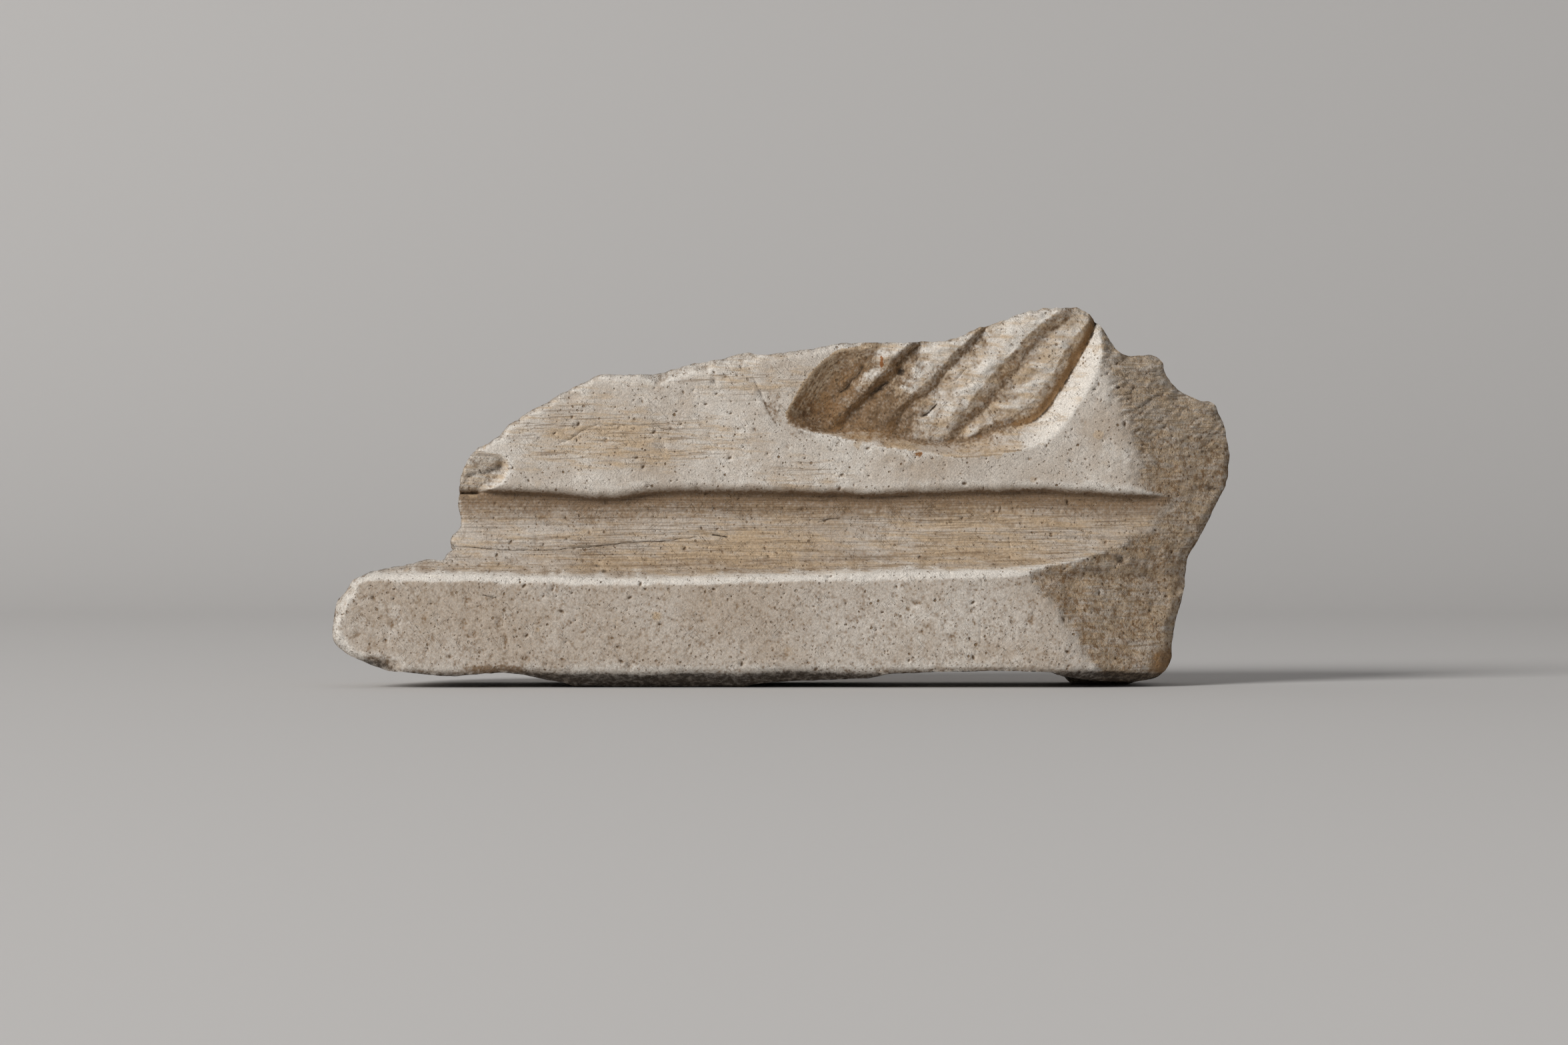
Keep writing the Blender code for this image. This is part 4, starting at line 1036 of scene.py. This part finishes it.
class Finish:
    """A material whose nodes are added by calls that hand back their outputs."""

    def __init__(self, name):
        self.material = bpy.data.materials.new(name)
        self.material.use_nodes = True
        self.tree = self.material.node_tree
        self.shader = self.tree.nodes["Principled BSDF"]

    def feed(self, socket, value):
        if isinstance(value, bpy.types.NodeSocket):
            self.tree.links.new(value, socket)
        else:
            socket.default_value = value

    def add(self, kind, inputs, output, **settings):
        node = self.tree.nodes.new("ShaderNode" + kind)
        for name, value in settings.items():
            setattr(node, name, value)
        for key, value in inputs.items():
            self.feed(node.inputs[key], value)
        return node.outputs[output]

    def millimetres(self):
        """The place on the object, in millimetres."""
        place = self.add("TexCoord", {}, "Object")
        return self.add("VectorMath", {0: place, "Scale": float(MM)}, 0, operation="SCALE")

    def turned(self, place, degrees):
        """The place turned about the axis that runs through the stone from front to back."""
        turn = {"Vector": place, "Angle": float(np.radians(degrees))}
        return self.add("VectorRotate", turn, 0, rotation_type="Y_AXIS")

    def tilted(self, place):
        """The place turned about all three axes, so that the noise's rows show on no face."""
        turn = {"Vector": place, "Rotation": NOISE_TURN}
        return self.add("VectorRotate", turn, 0, rotation_type="EULER_XYZ")

    def mask(self, name):
        return self.add("Attribute", {}, "Fac", attribute_name=name)

    def clouds(self, place, size, detail=3.0, roughness=0.55):
        settings = {"Vector": place, "Scale": 1 / size, "Detail": detail, "Roughness": roughness}
        return self.add("TexNoise", settings, 0)

    def strokes(self, place, lengths, detail, roughness):
        """Noise drawn out to a length along each axis."""
        shares = tuple(1 / length for length in lengths)
        place = self.add("VectorMath", {0: place, 1: shares}, 0, operation="MULTIPLY")
        return self.clouds(place, 1.0, detail, roughness)

    def shaken(self, place, size, reach):
        """The place moved aside by noise, so that what is drawn there has uneven edges."""
        push = self.add("TexNoise", {"Vector": place, "Scale": 1 / size, "Detail": 2.0}, "Color")
        push = self.add("VectorMath", {0: push, 1: (0.5, 0.5, 0.5)}, 0, operation="SUBTRACT")
        push = self.add("VectorMath", {0: push, "Scale": 2.0 * reach}, 0, operation="SCALE")
        return self.add("VectorMath", {0: place, 1: push}, 0, operation="ADD")

    def sum(self, a, b):
        return self.add("Math", {0: a, 1: b}, 0, operation="ADD")

    def times(self, result, *values):
        for value in values:
            result = self.add("Math", {0: result, 1: value}, 0, operation="MULTIPLY")
        return result

    def larger(self, a, b):
        return self.add("Math", {0: a, 1: b}, 0, operation="MAXIMUM")

    def less(self, a, b):
        return self.add("Math", {0: a, 1: b}, 0, operation="SUBTRACT")

    def between(self, value, low, high, start=0.0, end=1.0):
        """A smooth step from start to end as the value goes from low to high."""
        limits = {"Value": value, "From Min": low, "From Max": high, "To Min": start, "To Max": end}
        return self.add("MapRange", limits, 0, interpolation_type="SMOOTHSTEP")

    def spots(self, place, cell, reach, rare=0.4, soft=0.10):
        """Scattered spots of up to a radius, in a share of the cells of a size."""
        settings = {"Vector": place, "Scale": 1 / cell}
        gap = self.add("TexVoronoi", settings, "Distance")
        color = self.tree.nodes[-1].outputs["Color"]
        chance = self.add("SeparateColor", {"Color": color}, "Red")
        radius = self.times(self.between(chance, rare, 1.0), reach / cell)
        return self.between(self.less(radius, gap), 0.0, soft)

    def mix(self, share, a, b):
        return self.add("Mix", {0: share, 6: a, 7: b}, 2, data_type="RGBA")

    def total(self, parts):
        """The sum of (strength, value) parts."""
        result = None
        for strength, value in parts:
            part = self.times(value, strength)
            result = part if result is None else self.sum(result, part)
        return result


def limestone():
    """Weathered limestone: bleached where worn, stained with ochre and soil, pitted all over, with
    painted light and shade.
    """
    stone = Finish("limestone")
    place = stone.millimetres()
    tilted = stone.tilted(place)
    loose = stone.shaken(tilted, 1.1, 0.45)
    cloud = stone.clouds(tilted, 34, 3)
    mottle = stone.clouds(tilted, 6.5, 5, 0.62)
    patchy = stone.clouds(tilted, 2.0, 5, 0.68)
    grit = stone.clouds(tilted, 0.9, 3, 0.7)
    grain = stone.clouds(tilted, 0.45, 2, 0.6)
    soil_and_shade, ochre, wear_and_highlight = stone.mask("soil_and_shade"), stone.mask("ochre"), stone.mask("wear_and_highlight")
    facet, channel, recess = stone.mask("facet"), stone.mask("channel"), stone.mask("recess")
    coarse = stone.larger(facet, stone.mask("rough"))
    uneven = stone.between(patchy, 0.3, 0.7, -0.22, 0.22)

    # Pores and specks, from pinpricks to blots a few millimetres wide
    prick = stone.spots(loose, 1.15, 0.36, 0.35, 0.12)
    speck = stone.spots(loose, 2.3, 0.62, 0.45, 0.10)
    blot = stone.spots(stone.shaken(tilted, 2.4, 1.3), 8.5, 2.3, 0.62, 0.08)
    crowd = stone.between(stone.clouds(tilted, 17, 2), 0.38, 0.62)

    # Long fine tool lines in the channel, and thin threads on the stained field
    line = stone.between(stone.strokes(stone.shaken(place, 9, 0.5), (70, 6, 0.75), 3, 0.6), 0.56, 0.66)
    line = stone.times(line, channel)
    hair = stone.between(stone.strokes(stone.shaken(place, 12, 0.4), (90, 6, 0.42), 2, 0.5), 0.58, 0.66)
    hair = stone.times(hair, channel)
    thread = stone.between(stone.strokes(stone.turned(place, 2.0), (15, 8, 0.62), 2, 0.5), 0.57, 0.66)
    elsewhere = stone.between(stone.larger(recess, stone.mask("sawn")), 0, 1, 1.0, 0.0)
    thread = stone.times(thread, stone.between(ochre, 0.10, 0.5), elsewhere)

    # Short scratches, each set in a direction of its own
    scratch = None
    for degrees, length in ((38, 6.0), (-52, 5.0), (81, 4.0)):
        grooves = stone.turned(stone.shaken(place, 6, 0.8), degrees)
        one = stone.between(stone.strokes(grooves, (length, 6, 0.34), 1, 0.4), 0.66, 0.72)
        scratch = one if scratch is None else stone.larger(scratch, one)
    scratch = stone.times(scratch, stone.between(mottle, 0.45, 0.60))

    # Wear and painted highlights, ochre in streaks that lean a little, and soil and painted shade with
    # an uneven edge
    bleach_and_highlight = stone.sum(wear_and_highlight, stone.between(mottle, 0.35, 0.75, -0.20, 0.20))
    bleach_and_highlight = stone.between(bleach_and_highlight, 0.10, 0.80)
    streaks = stone.strokes(stone.turned(place, -3.0), (12, 8, 1.7), 5, 0.66)
    ochre_share = stone.sum(stone.times(ochre, 1.25), stone.between(streaks, 0.30, 0.72, -0.60, 0.30))
    patches = stone.times(stone.between(patchy, 0.25, 0.75, -1, 1), 0.55)
    patches = stone.sum(patches, stone.times(stone.between(grit, 0.3, 0.7, -1, 1), 0.45))
    strength = stone.between(soil_and_shade, 0.0, 0.35, 0.18, 0.62)
    patches = stone.times(patches, strength, stone.between(channel, 0, 1, 1.0, 0.4))
    soil_and_shade_share = stone.sum(soil_and_shade, patches)
    rust = stone.sum(stone.mask("rust"), stone.between(patchy, 0.3, 0.7, -0.35, 0.35))
    caked = stone.times(stone.between(soil_and_shade, 0.35, 0.80), recess)
    dark_grit = stone.times(stone.between(grit, 0.56, 0.68), stone.between(facet, 0, 1, 0.35, 1.0))
    pale_grit = stone.times(stone.between(grit, 0.46, 0.34), stone.between(facet, 0, 1, 0.30, 0.75))

    # What lies over the pale stone, from the lowest layer up: its share, strength and colour
    color = PALE
    for share, strength, tint in (
        (stone.between(cloud, 0.36, 0.66), 1.0, TAN),
        (stone.between(mottle, 0.50, 0.68), 0.65, TAN),
        (bleach_and_highlight, 0.95, BLEACHED_AND_LIT),
        (stone.between(ochre_share, 0.05, 1.0), 0.85, OCHRE),
        (thread, 0.55, BROWN),
        (scratch, 0.22, BROWN),
        (line, 0.25, BROWN),
        (hair, 0.30, BROWN),
        (stone.between(soil_and_shade_share, 0.12, 0.95), 0.92, BROWN),
        (stone.times(stone.between(patchy, 0.51, 0.62), coarse), 0.58, BROWN),
        (dark_grit, 0.42, BROWN),
        (pale_grit, 0.55, BLEACHED_AND_LIT),
        (stone.times(blot, crowd), 0.55, OCHRE),
        (stone.times(speck, stone.between(crowd, 0, 1, 0.30, 1.0)), 1.0, BROWN),
        (prick, 0.75, BROWN),
        (stone.mask("pit"), 0.8, BROWN),
        (stone.between(rust, 0.25, 0.75), 1.0, RUST),
        (stone.between(stone.sum(stone.mask("amber"), uneven), 0.08, 0.95), 0.85, AMBER),
        (stone.times(stone.between(grit, 0.54, 0.64), caked), 0.60, UMBER),
        (stone.times(stone.between(grit, 0.45, 0.34), caked), 0.24, TAN),
        (stone.between(stone.sum(stone.mask("dark"), uneven), 0.15, 0.95), 0.93, UMBER),
    ):
        color = stone.mix(stone.times(share, strength), color, tint)
    light = stone.between(grain, 0.3, 0.7, 0.77, 1.19)
    color = stone.add("HueSaturation", {"Value": light, "Color": color}, 0)
    stone.feed(stone.shader.inputs["Base Color"], color)

    # Roughness: soil and painted shade are dull, and the worn stone and painted highlights have a faint
    # polish
    dull = stone.between(stone.sum(soil_and_shade_share, stone.times(bleach_and_highlight, -0.57)), -0.4, 0.6, 0.74, 0.96)
    stone.feed(stone.shader.inputs["Roughness"], dull)
    stone.shader.inputs["Specular IOR Level"].default_value = 0.35

    # Relief too fine for the mesh, in millimetres
    crumbling = stone.times(stone.clouds(tilted, 0.9, 4, 0.7), stone.between(coarse, 0, 1, 0.10, 1.0))
    relief = stone.total((
        (0.05, grain),
        (0.26, stone.clouds(tilted, 3.0, 4, 0.5)),
        (0.16, grit),
        (-0.22, prick),
        (-0.34, speck),
        (-0.14, line),
        (-0.12, hair),
        (-0.06, thread),
        (-0.20, scratch),
        (0.62, crumbling),
        (-0.10, stone.times(soil_and_shade_share, patchy)),
    ))
    bump = stone.add("Bump", {"Height": relief, "Distance": 0.001, "Strength": 1.0}, 0)
    stone.feed(stone.shader.inputs["Normal"], bump)
    return stone.material


stone_piece = make_stone()
stone_piece.data.materials.append(limestone())
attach(stone_piece, "root")
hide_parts(NODE)


# The stage, in metres: a floor that bends up into a wall, one soft lamp and a dim surround
FLOOR_FRONT = -4.0
FLOOR_SIDE = 6.0
FLOOR_COLOR = (0.55, 0.54, 0.53, 1)
FLOOR_ROUGHNESS = 0.9
BEND_START = 1.2
BEND_RADIUS = 0.8
BEND_STEPS = 12
WALL_TOP = 5.0
LAMP_PLACE = (-3.6, -3.5, 2.8)
LAMP_TARGET = (0.0, 0.0, 0.06)
LAMP_SIZE = 2.6
LAMP_POWER = 292.0
LAMP_COLOR = (1.0, 0.985, 0.965)
SURROUND_COLOR = (0.84, 0.83, 0.84, 1)
SURROUND_STRENGTH = 0.28

# The camera, level and straight in front, at the photograph's distance
CAMERA_ASIDE = -0.0006
CAMERA_DISTANCE = 1.534
CAMERA_HEIGHT = 0.0584
SENSOR_WIDTH = 36
FOCAL_LENGTH = 100


def make_floor():
    profile = [(FLOOR_FRONT, 0.0), (BEND_START, 0.0)]
    for step in range(1, BEND_STEPS + 1):
        angle = np.pi / 2 * step / BEND_STEPS
        rise = BEND_RADIUS - BEND_RADIUS * np.cos(angle)
        profile.append((BEND_START + BEND_RADIUS * np.sin(angle), rise))
    profile.append((BEND_START + BEND_RADIUS, WALL_TOP))
    vertices = [(side * FLOOR_SIDE, y, z) for y, z in profile for side in (-1, 1)]
    faces = [(2 * i, 2 * i + 1, 2 * i + 3, 2 * i + 2) for i in range(len(profile) - 1)]
    mesh = bpy.data.meshes.new("studio_floor")
    mesh.from_pydata(vertices, [], faces)
    mesh.shade_smooth()
    paint = Finish("studio_paint")
    paint.shader.inputs["Base Color"].default_value = FLOOR_COLOR
    paint.shader.inputs["Roughness"].default_value = FLOOR_ROUGHNESS
    mesh.materials.append(paint.material)
    return add_object("studio_floor", mesh)


def make_lights():
    lamp = bpy.data.lights.new("key_light", "AREA")
    lamp.shape = "DISK"
    lamp.size = LAMP_SIZE
    lamp.energy = LAMP_POWER
    lamp.color = LAMP_COLOR
    light = add_object("key_light", lamp)
    light.location = LAMP_PLACE
    aim = Vector(LAMP_TARGET) - Vector(LAMP_PLACE)
    light.rotation_euler = aim.to_track_quat("-Z", "Y").to_euler()
    world = bpy.data.worlds.new("studio")
    world.use_nodes = True
    world.node_tree.nodes["Background"].inputs["Color"].default_value = SURROUND_COLOR
    world.node_tree.nodes["Background"].inputs["Strength"].default_value = SURROUND_STRENGTH
    bpy.context.scene.world = world
    bpy.context.scene.view_settings.view_transform = "Standard"


def make_camera():
    data = bpy.data.cameras.new("camera")
    data.sensor_width = SENSOR_WIDTH
    data.lens = FOCAL_LENGTH
    camera = add_object("camera", data)
    camera.location = (CAMERA_ASIDE, box_low[1] / MM - CAMERA_DISTANCE, CAMERA_HEIGHT)
    camera.rotation_euler = (np.pi / 2, 0, 0)
    bpy.context.scene.camera = camera


floor = make_floor()
make_lights()
make_camera()
